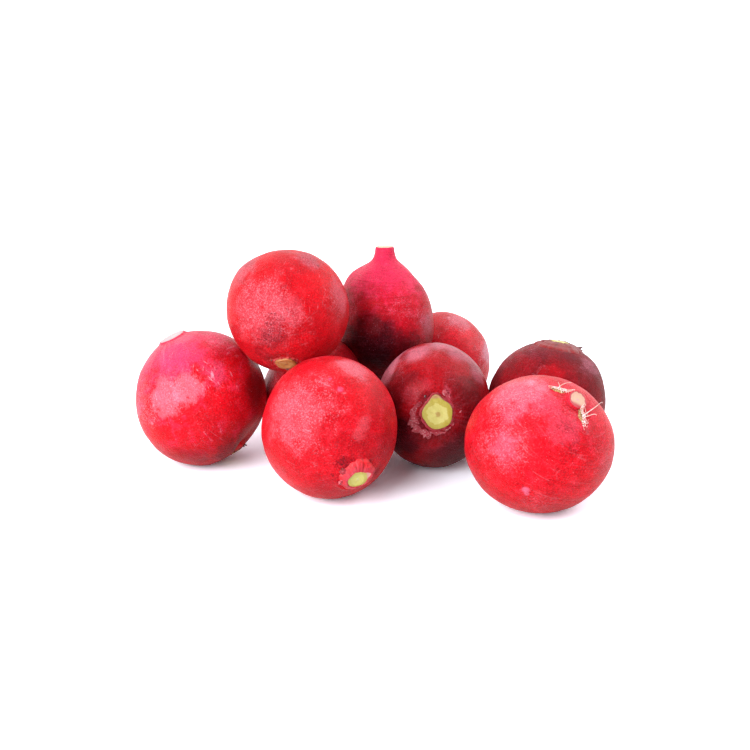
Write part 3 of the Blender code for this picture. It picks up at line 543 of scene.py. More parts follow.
def makeSkinGroup():
    tree, given, leave = newGroup("radishSkin", {
        "Vector": "Place", "Color": "Bright Deep Pink Pale",
        "Float": "PinkFrom Mottle Scuffs Lines Streaks Dirt Rough Dusk Worn Dusty Soiled Seed",
    }, {"Color": "Color", "Float": "Roughness Height"})
    place = given["Place"]
    shift = joinVector(tree, *(times(tree, given["Seed"], factor) for factor in (1.7, 2.9, 0.83)))
    own = vectorNode(tree, "ADD", place, shift)
    x, y, towardsRoot = splitVector(tree, place)
    marks = {}

    def pattern(name):
        *noiseValues, low, high = skinPatterns[name]
        vector = stretched(tree, own, *skinStretch[name]) if name in skinStretch else own
        return between(tree, noiseNode(tree, vector, *noiseValues), low, high)

    # broad and middling patches, pinker towards the root
    broad = pattern("broad")
    patches = noiseNode(tree, own, 5.5, 5, 0.6, 0.3)
    marks["mottled"] = times(tree, between(tree, patches, 0.50, 0.66), given["Mottle"])
    past = mathNode(tree, "SUBTRACT", wandering(tree, patches, 1.1, towardsRoot), given["PinkFrom"])
    marks["rootPink"] = between(tree, past, 0.0, 0.6)

    # streaks that run from end to end, strongest near the ends
    around = vectorNode(tree, "NORMALIZE", joinVector(tree, x, y))
    lift = joinVector(tree, 0, 0, times(tree, towardsRoot, 1.6))
    lengthwise = vectorNode(tree, "ADD", vectorNode(tree, "SCALE", around, scale=7.0), lift)
    streaks = noiseNode(tree, vectorNode(tree, "ADD", lengthwise, shift), 2.2, 4, 0.65)
    nearEnd = between(tree, mathNode(tree, "ABSOLUTE", towardsRoot), 0.62, 1.02)
    nearEnd = times(tree, nearEnd, given["Streaks"])
    marks["streaks"] = times(tree, between(tree, streaks, 0.48, 0.70), nearEnd)
    marks["darkStreaks"] = times(tree, between(tree, streaks, 0.50, 0.34), nearEnd)

    # fine growth lines around the axis, dark and pale
    for mark in ("lines", "paleLines"):
        marks[mark] = times(tree, pattern(mark), given["Lines"])

    # pale scuffs, thin and in patches, in two directions
    thin = mathNode(tree, "MAXIMUM", pattern("scuffs"), pattern("crossScuffs"))
    where = mathNode(tree, "MAXIMUM", pattern("scuffedParts"), given["Worn"])
    marks["scuffs"] = times(tree, thin, where, given["Scuffs"])

    # pale specks and a pale haze, thick where dust lies, and laid on highlights as painted sheen
    cloud = times(tree, pattern("dustyParts"), given["Mottle"], 0.16)
    dusty = mathNode(tree, "MAXIMUM", cloud, given["Dusty"])
    marks["specks"] = times(tree, pattern("specks"), timesPlus(tree, dusty, 0.52, 0.05))
    marks["haze"] = times(tree, given["Dusty"], between(tree, patches, 0.36, 0.60))

    # pores, some pale and some dark
    pores = tree.nodes.new("ShaderNodeTexVoronoi")
    feed(tree, pores.inputs["Vector"], own)
    feed(tree, pores.inputs["Scale"], 24.0)
    pore = between(tree, pores.outputs["Distance"], 0.18, 0.07)
    rare = tree.nodes.new("ShaderNodeSeparateColor")
    feed(tree, rare.inputs[0], pores.outputs["Color"])
    marks["palePores"] = times(tree, pore, mathNode(tree, "GREATER_THAN", rare.outputs[0], 0.74))
    marks["darkPores"] = times(tree, pore, mathNode(tree, "LESS_THAN", rare.outputs[0], 0.16))

    # dark specks where the skin is soiled, and a dull ring of dirt round the crown
    marks["grit"] = times(tree, pattern("grit"), given["Soiled"])
    crownSide = between(tree, timesPlus(tree, patches, 0.35, towardsRoot), -0.62, -0.80)
    marks["crownDirt"] = times(tree, crownSide, pattern("crownDirt"), given["Dirt"])

    colour = mixColour(tree, broad, given["Deep"], given["Bright"])
    for mark, (amount, tint) in skinLayers.items():
        tint = given[tint] if isinstance(tint, str) else rgba(tint)
        colour = layer(tree, colour, marks[mark], amount, tint)

    # painted shade, darker towards the crown's side where the heap shades it, and fine grain everywhere
    dusk = times(tree, between(tree, towardsRoot, 0.35, -0.75), given["Dusk"])
    colour = mixColour(tree, dusk, colour, mixColour(tree, 1.0, colour, rgba(paintedShadeTint), "MULTIPLY"))
    fine = noiseNode(tree, own, 46, 4, 0.75)
    tone = times(tree, between(tree, patches, 0.30, 0.70, 0.88, 1.08), between(tree, fine, 0.32, 0.68, 0.62, 1.30))
    feed(tree, leave["Color"], vectorNode(tree, "SCALE", colour, scale=tone))

    rough = timesPlus(tree, marks["scuffs"], 0.2, wandering(tree, patches, 0.30, given["Rough"]))
    feed(tree, leave["Roughness"], timesPlus(tree, marks["crownDirt"], 0.3, rough, clamp=True))

    relief = {**marks, "grain": fine, "lumps": noiseNode(tree, own, 30, 3, 0.6), "pores": pore}
    height = 0.0
    for mark, amount in skinRelief.items():
        height = timesPlus(tree, relief[mark], amount, height)
    feed(tree, leave["Height"], height)
    return tree


def makeSpotGroup():
    # a ragged mask round one place
    tree, given, leave = newGroup("raggedSpot", {
        "Vector": "Place Centre", "Float": "Reach Grain Strength Edge Ragged"}, {"Float": "Mask"})
    away = vectorNode(tree, "DISTANCE", given["Place"], given["Centre"])
    near = mathNode(tree, "DIVIDE", away, given["Reach"])
    torn = wandering(tree, noiseNode(tree, given["Place"], given["Grain"], 4, 0.68), given["Ragged"], near)
    mask = between(tree, torn, 1.0, mathNode(tree, "SUBTRACT", 1.0, given["Edge"]))
    mask = times(tree, mask, between(tree, near, 1.5, 0.5))
    feed(tree, leave["Mask"], mathNode(tree, "MULTIPLY", mask, given["Strength"], clamp=True))
    return tree


def makeCutGroup():
    # a cut end: rind, outer flesh, starry core and pith, across a disc of radius 1
    tree, given, leave = newGroup("cutEnd", {
        "Vector": "Place", "Color": "Rind Outer Core Pith Side", "Float": "Seed"},
        {"Color": "Color", "Float": "Height"})
    x, y, z = splitVector(tree, given["Place"])
    ragged = noiseNode(tree, joinVector(tree, x, y, given["Seed"]), 2.6, 4, 0.6)
    away = wandering(tree, ragged, 0.55, vectorNode(tree, "LENGTH", joinVector(tree, x, y)))
    fleck = noiseNode(tree, given["Place"], 9.0, 4, 0.7)
    colour = given["Core"]
    for mask, amount, tint in ((between(tree, away, 0.22, 0.12), 1, "Pith"),
                               (between(tree, away, 0.64, 0.70), 1, "Outer"),
                               (between(tree, away, 0.96, 1.06), 1, "Rind"),
                               (between(tree, fleck, 0.52, 0.74), 0.3, "Rind"),
                               (between(tree, z, -0.10, -0.26), 1, "Side")):
        colour = layer(tree, colour, mask, amount, given[tint])
    feed(tree, leave["Color"], colour)
    feed(tree, leave["Height"], timesPlus(tree, fleck, 0.6, times(tree, ragged, 0.8)))
    return tree


def makeLeafGroup():
    # a leaf base's fibres, dried towards its end
    tree, given, leave = newGroup("leafFibre", {
        "Vector": "Place", "Color": "Fresh Dried Light Dark", "Float": "Dryness"},
        {"Color": "Color", "Float": "Height"})
    patchy = noiseNode(tree, given["Place"], 0.9, 4, 0.65)
    fibre = noiseNode(tree, stretched(tree, given["Place"], (2.6, 2.6, 0.6)), 1.0, 4, 0.65)
    dried = between(tree, wandering(tree, patchy, 1.4, given["Dryness"]), 0.30, 0.75)
    colour = mixColour(tree, dried, given["Fresh"], given["Dried"])
    colour = layer(tree, colour, between(tree, fibre, 0.52, 0.70), 0.45, given["Light"])
    colour = layer(tree, colour, between(tree, fibre, 0.46, 0.32), 0.6, given["Dark"])
    feed(tree, leave["Color"], colour)
    feed(tree, leave["Height"], fibre)
    return tree


def makeNeckGroup():
    # the radish's own red at the foot, paler and ridged at the lip, painted shade in the grooves between the ridges,
    # and patches of dirt
    tree, given, leave = newGroup("ridgedNeck", {
        "Vector": "Place", "Color": "Foot Collar Pale Shade Soil", "Float": "Top Drift"},
        {"Color": "Color", "Float": "Height"})
    x, y, z = splitVector(tree, given["Place"])
    around = vectorNode(tree, "SCALE", vectorNode(tree, "NORMALIZE", joinVector(tree, x, y)), scale=5.0)
    drift = joinVector(tree, 0, 0, timesPlus(tree, z, 0.35, given["Drift"]))
    ribs = noiseNode(tree, vectorNode(tree, "ADD", around, drift), 1.6, 4, 0.65)
    patchy = noiseNode(tree, given["Place"], 1.1, 4, 0.65)
    level = between(tree, wandering(tree, ribs, 2.2, z), -0.2, given["Top"])
    colour = mixColour(tree, level, given["Foot"], given["Collar"])
    for mask, amount, tint in ((between(tree, ribs, 0.54, 0.68), 0.12, "Pale"),
                               (between(tree, ribs, 0.46, 0.34), 0.5, "Shade"),
                               (between(tree, patchy, 0.54, 0.68), 0.55, "Soil")):
        colour = layer(tree, colour, mask, amount, given[tint])
    feed(tree, leave["Color"], colour)
    feed(tree, leave["Height"], mathNode(tree, "ADD", ribs, times(tree, patchy, 0.4)))
    return tree


def makeFibreGroup():
    # two tints in patches, for the rootlets and their scars
    tree, given, leave = newGroup("patchyFibre", {
        "Vector": "Place", "Color": "Tint SpotTint", "Float": "Size"}, {"Color": "Color", "Float": "Height"})
    patchy = noiseNode(tree, given["Place"], given["Size"], 4, 0.7)
    feed(tree, leave["Color"], mixColour(tree, between(tree, patchy, 0.4, 0.65), given["Tint"], given["SpotTint"]))
    feed(tree, leave["Height"], patchy)
    return tree


skinGroup, spotGroup, cutGroup = makeSkinGroup(), makeSpotGroup(), makeCutGroup()
leafGroup, neckGroup, fibreGroup = makeLeafGroup(), makeNeckGroup(), makeFibreGroup()
print("shared effects made")

# bump: depth in mm and strength; the rest are the shader's own values
finishes = {
    "skin": {"bump": (0.26, 1.0), "Specular IOR Level": 0.09, "Specular Tint": (1.0, 0.30, 0.42, 1.0),
             "Coat Roughness": 0.24, "Subsurface Weight": 0.06, "Subsurface Radius": (1.0, 0.15, 0.1),
             "Subsurface Scale": 1.2 * mm},
    "cut": {"bump": (0.18, 0.8), "Roughness": 0.45, "Subsurface Weight": 0.15,
            "Subsurface Radius": (1.0, 0.7, 0.3), "Subsurface Scale": 1.0 * mm},
    "leaf": {"bump": (0.2, 0.8), "Roughness": 0.5, "Specular IOR Level": 0.35},
    "neck": {"bump": (0.4, 0.8), "Roughness": 0.45, "Specular IOR Level": 0.35},
    "fibre": {"bump": (0.1, 0.6), "Roughness": 0.7},
}


def newMaterial(name, group, finish, middle, turn, unit, **values):
    # object coordinates are centred, turned and measured in the given unit before the shared effect reads them
    material = bpy.data.materials.new(name)
    material.use_nodes = True
    tree = material.node_tree
    shader = tree.nodes["Principled BSDF"]
    mapping = tree.nodes.new("ShaderNodeMapping")
    mapping.vector_type = "TEXTURE"
    for label, value in (("Vector", tree.nodes.new("ShaderNodeTexCoord").outputs["Object"]), ("Location", middle),
                         ("Rotation", turn), ("Scale", (unit, unit, unit))):
        feed(tree, mapping.inputs[label], value)
    place = mapping.outputs["Vector"]
    node = groupNode(tree, group, Place=place, **values)
    feed(tree, shader.inputs["Base Color"], node.outputs["Color"])
    own = dict(finishes[finish])
    depth, strength = own.pop("bump")
    relief = tree.nodes.new("ShaderNodeBump")
    for label, value in (("Distance", depth * mm), ("Strength", strength), ("Height", node.outputs["Height"])):
        feed(tree, relief.inputs[label], value)
    feed(tree, shader.inputs["Normal"], relief.outputs["Normal"])
    for label, value in own.items():
        feed(tree, shader.inputs[label], value)
    return material, tree, shader, place, node


def skinMaterial(name, radish):
    skin = radish["skin"]
    values = {key[0].upper() + key[1:]: rgba(value) if isinstance(value, tuple) else value
              for key, value in skin.items() if key != "coat"}
    material, tree, shader, place, node = newMaterial(
        name + "Skin", skinGroup, "skin", Vector(radish["middle"]) * mm, turnOf(radish).to_euler(), radiusOf(radish),
        Seed=float(radish["seed"]), **values)
    feed(tree, shader.inputs["Roughness"], node.outputs["Roughness"])
    feed(tree, shader.inputs["Coat Weight"], skin["coat"])

    def spotMask(pixel, reach, strength, grain, edge=0.65, ragged=2.2):
        return groupNode(tree, spotGroup, Place=place, Centre=seenAt(radish, pixel), Reach=reach, Strength=strength,
                         Grain=float(grain), Edge=edge, Ragged=ragged).outputs["Mask"]

    for mark, grain in (("worn", 6), ("dusty", 4), ("soiled", 7)):
        mask = None
        for spot in radish[mark]:
            patch = spotMask(*spot, grain)
            mask = patch if mask is None else mathNode(tree, "MAXIMUM", mask, patch)
        feed(tree, node.inputs[mark.capitalize()], mask)
    # spots of another colour, real tints and painted highlights, sheens and shade, lie under the marks, as they tint
    # the skin's own colours
    for pixel, reach, tint, strength, grain, *edge in radish["spots"]:
        mask = spotMask(pixel, reach, strength, grain, *(edge or [0.65]), 0.9 if grain < 4 else 2.0)
        for label, share in (("Bright", 1), ("Deep", 1), ("Pink", 0.8)):
            base = node.inputs[label]
            before = base.links[0].from_socket if base.is_linked else tuple(base.default_value)
            feed(tree, base, layer(tree, before, mask, share, rgba(tint)))
    return material


def cutMaterial(name, middle, turn, unit, tints, seed, side=None):
    colours = {key.capitalize(): rgba(tint) for key, tint in {"side": side or tints["rind"], **tints}.items()}
    return newMaterial(name, cutGroup, "cut", middle, turn, unit, Seed=float(seed), **colours)[0]


# mm where nothing else is said
bodySettings = {
    "merge": 0.01,
    "quadAngle": math.radians(40),
    "fatten": 0.22,  # given back for what the softening takes
    "softness": 3,  # subdivision levels
    "swell": ((9.0, 0.45), (3.2, 0.12)),  # size and height of the unevenness
    "swellMiddle": 0.35,
    "rimReach": 0.45,  # past the root's radius
    "cutDepth": 0.3,
    "cutRim": 0.35,  # width of the tight rim of the root's cut
    "leanReach": 2.5, "widenReach": 2, "shiftReach": 5,  # how far round the cut the skin follows
    "fleshReach": 0.97, "fleshDepth": 0.45,  # the faces of the cut: share of the rim's radius, and off its middle
}

softEdit = {"use_proportional_edit": True, "proportional_edit_falloff": "SMOOTH"}

rootCuts = {
    "left": {"rind": (0.5, 0.08, 0.13), "outer": (0.36, 0.24, 0.27), "core": (0.36, 0.3, 0.31),
        "pith": (0.36, 0.3, 0.3)},
    "right": {"rind": (0.34, 0.006, 0.02), "outer": (0.47, 0.26, 0.18), "core": (0.48, 0.28, 0.19),
        "pith": (0.5, 0.23, 0.22)},
    "upper_rear": {"rind": (0.51, 0.068, 0.0952), "outer": (0.544, 0.286, 0.177), "core": (0.571, 0.374, 0.258),
        "pith": (0.544, 0.286, 0.204)},
    "other": {"rind": (0.476, 0.068, 0.0952), "outer": (0.571, 0.394, 0.299), "core": (0.612, 0.49, 0.394),
        "pith": (0.585, 0.408, 0.326)},
}


def pushDents(thing, radish):
    # pulls or pushes the surface round a place, as a hand would
    for pixel, move, reach in radish["dents"]:
        target = heapPlace(radish, pixel)
        nearest = min(thing.data.vertices, key=lambda v: (v.co - target).length).index
        editFaces(thing, lambda face: False)
        objectMode()
        thing.data.vertices[nearest].select = True
        bpy.ops.object.mode_set(mode="EDIT")
        bpy.ops.mesh.select_mode(type="VERT")
        bpy.ops.transform.translate(value=viewTurn() @ Vector(move) * mm, orient_type="GLOBAL",
                                    proportional_size=reach * mm, **softEdit)
        objectMode()


def makeBody(name, radish, s):
    node = name + "_radish"
    selectOnly(frame["nodes"][node])
    bpy.ops.object.duplicate()
    body = bpy.context.object
    body.name = name + "Body"
    body.data.name = body.name
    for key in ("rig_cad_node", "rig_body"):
        if key in body:
            del body[key]
    editAll()
    bpy.ops.mesh.remove_doubles(threshold=s["merge"] * mm)
    bpy.ops.mesh.tris_convert_to_quads(face_threshold=s["quadAngle"], shape_threshold=s["quadAngle"])
    bpy.ops.transform.shrink_fatten(value=s["fatten"] * mm)
    objectMode()
    pushDents(body, radish)

    # the root's cut gets a tight rim and is tilted, widened and moved
    into = placing(radish).inverted()
    rootWay = turnOf(radish) @ Vector((0, 0, 1))
    rim = (radish["rootRadius"] + s["rimReach"]) * mm
    spots = [into @ v.co for v in body.data.vertices]
    cutHeight = max(spot.z for spot in spots if spot.xy.length < rim)

    def onCut(face):
        spot = into @ face.center
        return (spot.xy.length < rim and spot.z > cutHeight - s["cutDepth"] * mm
                and face.normal.dot(rootWay) > 0.9)

    middle = placing(radish) @ Vector((0, 0, cutHeight))
    shift = viewTurn() @ Vector(radish["rootShift"]) * mm
    wider = radish["rootWiden"]
    editFaces(body, onCut)
    bpy.ops.mesh.inset(thickness=s["cutRim"] * mm)
    bpy.ops.transform.rotate(value=-math.radians(radish["rootLean"]), orient_axis="X", orient_type="GLOBAL",
                             center_override=middle, proportional_size=s["leanReach"] * mm, **softEdit)
    bpy.ops.transform.resize(value=(wider, wider, wider), center_override=middle,
                             proportional_size=s["widenReach"] * mm, **softEdit)
    bpy.ops.transform.translate(value=shift, orient_type="GLOBAL", proportional_size=s["shiftReach"] * mm, **softEdit)
    objectMode()
    middle += shift
    skin = skinMaterial(name, radish)
    flesh = cutMaterial(name + "RootCut", middle, turnOf(radish).to_euler(),
                        radish["rootRadius"] * radish["flesh"] * mm, rootCuts.get(name, rootCuts["other"]),
                        radish["seed"])
    subdivide(body, s["softness"])
    applyAll(body)
    for size, strength in s["swell"]:
        displace(body, size, strength, s["swellMiddle"])
    applyAll(body)
    keepAboveFloor(body)
    dress(body, skin, node)
    body.data.materials.append(flesh)
    for face in body.data.polygons:
        spot = face.center - middle
        flat = abs(spot.dot(face.normal)) < s["fleshDepth"] * mm and face.normal.dot(rootWay) > 0.75
        if spot.length < rim * wider * s["fleshReach"] and flat:
            face.material_index = 1
    return body


# core: radius and height of the cut stalks, mm; lobes and spike (angle and reach of one drawn-out corner): its shape
# neck: height and foot radius of the ridged skin round them, mm; rings: radius and height of folds on the way up
# shift: along the crown's own right, up and out, mm
# tints: rind, outer flesh, core and pith of the cut; collar: the neck's skin
# leaves: angle, width, length, lean and dryness of each leaf base left on, and how much higher it starts
usualCrown = {"lobes": 5, "spike": (0, 0.15), "rings": [], "shift": (0, 0, 0),
    "tints": ((0.354, 0.258, 0.068), (0.408, 0.354, 0.068), (0.503, 0.462, 0.15), (0.435, 0.326, 0.122))}
crowns = {
    "left": {
        "core": (3.2, 0.9), "spike": (0, 0.0), "neck": (0.7, 5.4), "shift": (1.2, 0.4, -0.2),
        "tints": ((0.238, 0.068, 0.0272), (0.422, 0.313, 0.0816), (0.49, 0.408, 0.15), (0.408, 0.286, 0.136)),
        "collar": (0.12, 0.016, 0.012),
        "leaves": [(20, 3.4, 1.3, 1.0, 0.95), (72, 3.2, 1.5, 1.1, 1.0), (140, 3.2, 1.2, 0.9, 0.7),
            (200, 3.0, 1.3, 1.0, 0.9), (265, 3.2, 0.9, 0.7, 0.6), (320, 3.4, 1.3, 1.0, 1.0)],
    },
    "front": {
        "core": (3.0, 1.7), "lobes": 3, "spike": (25, 0.5), "neck": (1.9, 5.6), "shift": (1.3, 0.1, 0.0),
        "tints": ((0.5, 0.24, 0.2), (0.38, 0.34, 0.065), (0.43, 0.41, 0.095), (0.46, 0.43, 0.16)),
        "collar": (0.36, 0.014, 0.03),
        "leaves": [(100, 3.0, 1.2, 0.9, 0.7), (148, 3.0, 3.0, 1.75, 0.35, 1.4), (196, 3.0, 2.2, 1.6, 0.2, 1.2),
            (62, 2.6, 1.0, 1.0, 0.8), (265, 3.0, 0.8, 0.6, 0.3)],
    },
    "middle": {
        "core": (4.5, 1.1), "spike": (93, 0.36), "neck": (0.75, 5.8), "shift": (-0.3, -0.5, 0.0),
        "tints": ((0.31, 0.17, 0.07), (0.29, 0.25, 0.03), (0.38, 0.36, 0.095), (0.28, 0.2, 0.05)),
        "collar": (0.25, 0.018, 0.03),
        "leaves": [(180, 8.0, 3.0, 1.4, 0.0, 0.5), (206, 8.0, 4.4, 1.58, 0.25, 0.6),
            (236, 7.0, 3.0, 1.45, 0.1, 0.5), (150, 4.0, 2.0, 1.3, 0.1, 0.4), (270, 8.0, 1.3, 1.1, 0.0, 0.3),
            (310, 5.0, 0.9, 0.9, 0.2, 0.2), (8, 3.0, 2.4, 1.45, 0.4, 0.3), (64, 3.4, 2.4, 1.35, 0.0, 0.5),
            (122, 2.2, 1.6, 1.2, 0.8)],
    },
    "right": {
        "core": (2.9, 1.0), "spike": (0, 0.1), "neck": (0.8, 5.0), "collar": (0.49, 0.109, 0.102),
        "leaves": [(0, 3.2, 1.4, 0.7, 0.5), (70, 3.0, 1.2, 0.7, 0.4), (150, 3.0, 1.6, 0.7, 0.7),
            (225, 3.2, 1.2, 0.6, 0.5), (300, 3.0, 1.3, 0.7, 0.6)],
    },
    "far_right": {
        "core": (3.0, 2.1), "spike": (60, 0.15), "neck": (2.1, 8.0), "shift": (0.6, 0.6, 0.2),
        "tints": ((0.238, 0.109, 0.0408), (0.422, 0.374, 0.068), (0.476, 0.449, 0.136), (0.408, 0.34, 0.109)),
        "collar": (0.177, 0.0204, 0.0204),
        "rings": [(6.9, 0.9), (5.9, 1.0), (4.9, 1.8)],
        "leaves": [(5, 4.0, 3.8, 1.55, 0.8, 1.5), (50, 5.0, 1.6, 1.0, 0.5), (100, 5.0, 1.5, 1.0, 0.4),
            (150, 5.0, 1.8, 0.9, 0.4), (188, 7.0, 2.6, 0.85, 0.1), (240, 6.0, 1.8, 1.3, 0.5),
            (292, 6.0, 2.0, 1.35, 0.3)],
    },
    "rear": {
        "core": (2.8, 1.6), "neck": (1.2, 4.8), "collar": (0.422, 0.0952, 0.0952),
        "leaves": [(0, 3.2, 2.0, 0.5, 0.4), (72, 3.0, 1.6, 0.5, 0.3), (150, 3.0, 2.2, 0.6, 0.6),
            (220, 3.2, 1.6, 0.5, 0.5), (290, 3.0, 1.8, 0.6, 0.4)],
    },
    "inner": {
        "core": (2.7, 1.5), "neck": (1.1, 4.6), "collar": (0.408, 0.0884, 0.0884),
        "leaves": [(20, 3.0, 1.8, 0.5, 0.5), (95, 3.0, 1.4, 0.5, 0.3), (170, 3.0, 2.0, 0.6, 0.6),
            (240, 3.0, 1.5, 0.5, 0.5), (310, 3.0, 1.6, 0.6, 0.4)],
    },
    "upper_left": {
        "core": (3.1, 1.1), "lobes": 4, "spike": (0, 0.05), "neck": (0.8, 5.2), "shift": (0.3, -0.3, -0.1),
        "tints": ((0.231, 0.0952, 0.034), (0.34, 0.129, 0.034), (0.408, 0.204, 0.0612), (0.326, 0.136, 0.0476)),
        "collar": (0.34, 0.0306, 0.0306),
        "rings": [(4.9, 0.55), (4.3, 0.2)],
        "leaves": [(20, 3.0, 0.9, 0.9, 0.6), (160, 3.0, 0.9, 0.9, 0.7), (270, 3.4, 0.8, 0.7, 0.5)],
    },
    "upper_rear": {
        "core": (2.7, 1.3), "neck": (1.0, 4.6), "collar": (0.408, 0.0816, 0.0884),
        "leaves": [(0, 3.0, 1.5, 0.6, 0.4), (90, 3.0, 1.4, 0.6, 0.5), (180, 3.0, 1.6, 0.6, 0.6),
            (270, 3.0, 1.4, 0.6, 0.5)],
    },
}


# how the cut stalks, the neck and the leaf bases are shaped, mm where nothing else is said
crownShape = {
    "coreSides": 48, "neckSides": 96,
    "coreFoot": -0.5, "neckFoot": -1.6,  # where they start, from the seat
    "coreRounding": (0.04, 0.08, 0.16),  # how much each ring up to the rim draws in
    "coreRings": (0.14, 0.18, 0.22, 0.2),  # rings across the cut, shares of its radius
    "lobes": 0.035, "wander": 0.09,  # shares of the cut's radius
    "spikeSharpness": 14,
    "ridges": (0.030, 0.022, 0.05),  # coarse, fine and wandering, shares of the neck's radius
    "lipWander": 0.45,
    "leafGap": 0.3, "leafThickness": 0.40,
}


def crownPlacing(radish, crown):
    # on the crown's seat, +Z outwards, with +Y towards the sky or the far side
    outwards = -(turnOf(radish) @ Vector((0, 0, 1)))
    up = Vector((0, 0, 1)) - outwards * outwards.z
    if up.length < 0.3:
        up = Vector((0, 1, 0)) - outwards * outwards.y
    up.normalize()
    turn = Matrix((up.cross(outwards), up, outwards)).transposed().to_4x4()
    seat = placing(radish) @ Vector((0, 0, radish["seat"] * mm))
    return Matrix.Translation(seat) @ turn @ Matrix.Translation(Vector(crown["shift"]) * mm)


def wave(angle, seed):
    return noise.noise(Vector((math.cos(angle) * 1.3, math.sin(angle) * 1.3, seed * 3.7)))


def widen(vertex, factor):
    vertex.co.x *= factor
    vertex.co.y *= factor


def lobed(angle, radish, crown, s=crownShape):
    # how far the cut reaches at an angle, over its radius
    spikeAngle, spike = crown["spike"]
    seed = radish["seed"]
    reach = 1 + s["lobes"] * math.cos(crown["lobes"] * angle + seed) + s["wander"] * wave(angle, seed)
    return reach + spike * max(math.cos(angle - math.radians(spikeAngle)), 0) ** s["spikeSharpness"]


def startRing(name, vertices, radius, height, fill):
    # a circle round the crown's axis, in edit mode and all selected
    bpy.ops.mesh.primitive_circle_add(vertices=vertices, radius=radius * mm, fill_type=fill,
                                      location=(0, 0, height * mm))
    ring = bpy.context.object
    ring.name = name
    bpy.ops.object.transform_apply(location=True)
    editAll()
    return ring


def raiseRing(lift):
    bpy.ops.mesh.extrude_region_move(TRANSFORM_OT_translate={"value": (0, 0, lift * mm)})


def makeCore(name, radish, crown, s):
    # the cut stalks: a drum with a rounded rim and a slightly uneven top
    radius, height = crown["core"]
    core = startRing(name + "CutStalks", s["coreSides"], radius, s["coreFoot"], "NGON")
    lifts = (0.5 * height - s["coreFoot"], 0.42 * height, 0.08 * height)
    for lift, narrower in zip(lifts, s["coreRounding"]):
        raiseRing(lift)
        bpy.ops.mesh.inset(thickness=narrower * mm)
    for step in s["coreRings"]:
        bpy.ops.mesh.inset(thickness=step * radius * mm)
    bpy.ops.mesh.poke()
    objectMode()
    for vertex in core.data.vertices:
        widen(vertex, lobed(math.atan2(vertex.co.y, vertex.co.x), radish, crown))
        away = vertex.co.xy.length / (radius * mm)
        if vertex.co.z > 0.8 * height * mm:
            # rings of the cut, a slight hollow and the knife's slant
            vertex.co.z += mm * (0.09 * math.cos(away * 9) - 0.12 * (1 - away) + 0.16 * noise.noise(vertex.co * 700))
    subdivide(core, 2)
    applyAll(core)
    return core


def makeNeck(name, radish, crown, s):
    # the ridged skin that rises from the shoulder to the cut stalks, ring by ring (radius and height, mm)
    height, foot = crown["neck"]
    neck = startRing(name + "Neck", s["neckSides"], foot, s["neckFoot"], "NOTHING")
    top = crown["core"][0] + 0.05
    steps = [(foot - 0.05, -0.6), (foot - 0.35, -0.1), *(crown["rings"] or [((foot + top) / 2 + 0.2, 0.45 * height)]),
             (top + 0.35, height - 0.25), (top + 0.16, height), (top, height - 0.02), (top - 0.22, height - 0.3),
             (top - 0.4, height - 0.9)]
    for (last, lastHeight), (wide, high) in zip([(foot, s["neckFoot"]), *steps], steps):
        raiseRing(high - lastHeight)
        bpy.ops.transform.resize(value=(wide / last, wide / last, 1), center_override=(0, 0, 0))
    objectMode()
    seed = radish["seed"]
    coarse, fine, bent = s["ridges"]
    for vertex in neck.data.vertices:
        angle = math.atan2(vertex.co.y, vertex.co.x)
        inside = vertex.co.xy.length < (top + 0.1) * mm
        rise = 1 if inside else min(max((vertex.co.z / mm + 0.6) / (height + 0.6), 0), 1)
        ridge = coarse * math.cos(11 * angle + 2 * seed) + fine * math.cos(23 * angle + seed)
        ridge += bent * wave(4 * angle, seed + 3)
        reach = 1 + (lobed(angle, radish, crown) - 1) * rise
        if not inside:
            reach += ridge * (0.25 + 0.75 * (1 - abs(2 * rise - 1))) + 0.06 * wave(2 * angle, seed + 5) * (1 - rise)
        widen(vertex, reach)
        if vertex.co.z > 0:
            vertex.co.z += s["lipWander"] * mm * wave(3 * angle, seed + 9) * rise
    subdivide(neck, 2)
    applyAll(neck)
    # both ends, hidden in the skin and under the cut, are closed last
    editAll()
    bpy.ops.mesh.fill_holes(sides=0)
    bpy.ops.mesh.select_all(action="SELECT")
    bpy.ops.mesh.normals_make_consistent(inside=False)
    objectMode()
    return neck


def makeLeafBase(name, radish, crown, s, index):
    # one leaf base that was left on: a thin curved flap with a torn end
    angle, width, length, lean, dryness, *lift = crown["leaves"][index]
    ring = crown["core"][0] + s["leafGap"]
    bpy.ops.mesh.primitive_grid_add(x_subdivisions=12, y_subdivisions=9, size=2)
    leaf = bpy.context.object
    leaf.name = name + "LeafBase"
    seed = radish["seed"] * 10 + index
    dry = leaf.data.attributes.new("dryness", "FLOAT", "POINT")
    for vertex in leaf.data.vertices:
        across, along = vertex.co.x, (vertex.co.y + 1) / 2
        torn = 1 + 0.45 * noise.noise(Vector((across * 2.6, seed, 0)))
        narrowing = 1 - 0.5 * along ** 2
        ripple = 0.3 * noise.noise(Vector((across * 1.6, along * 3, seed)))
        out = ring + math.sin(lean) * length * along * torn + ripple
        rise = -0.6 + (math.cos(lean) * length + 0.6) * along * torn - 0.25 * length * along * across ** 2
        rise += sum(lift) + 0.35 * math.sin(3.1 * across + seed) * along
        way = math.radians(angle) + across * width / 2 * narrowing / out
        out *= 1 + (lobed(way, radish, crown) - 1) * 0.8
        vertex.co = Vector((out * math.cos(way), out * math.sin(way), rise)) * mm
        dry.data[vertex.index].value = dryness * (0.45 + 0.75 * along)
    thick = leaf.modifiers.new("thickness", "SOLIDIFY")
    thick.thickness = s["leafThickness"] * mm
    thick.offset = 1
    subdivide(leaf, 1)
    applyAll(leaf)
    return leaf


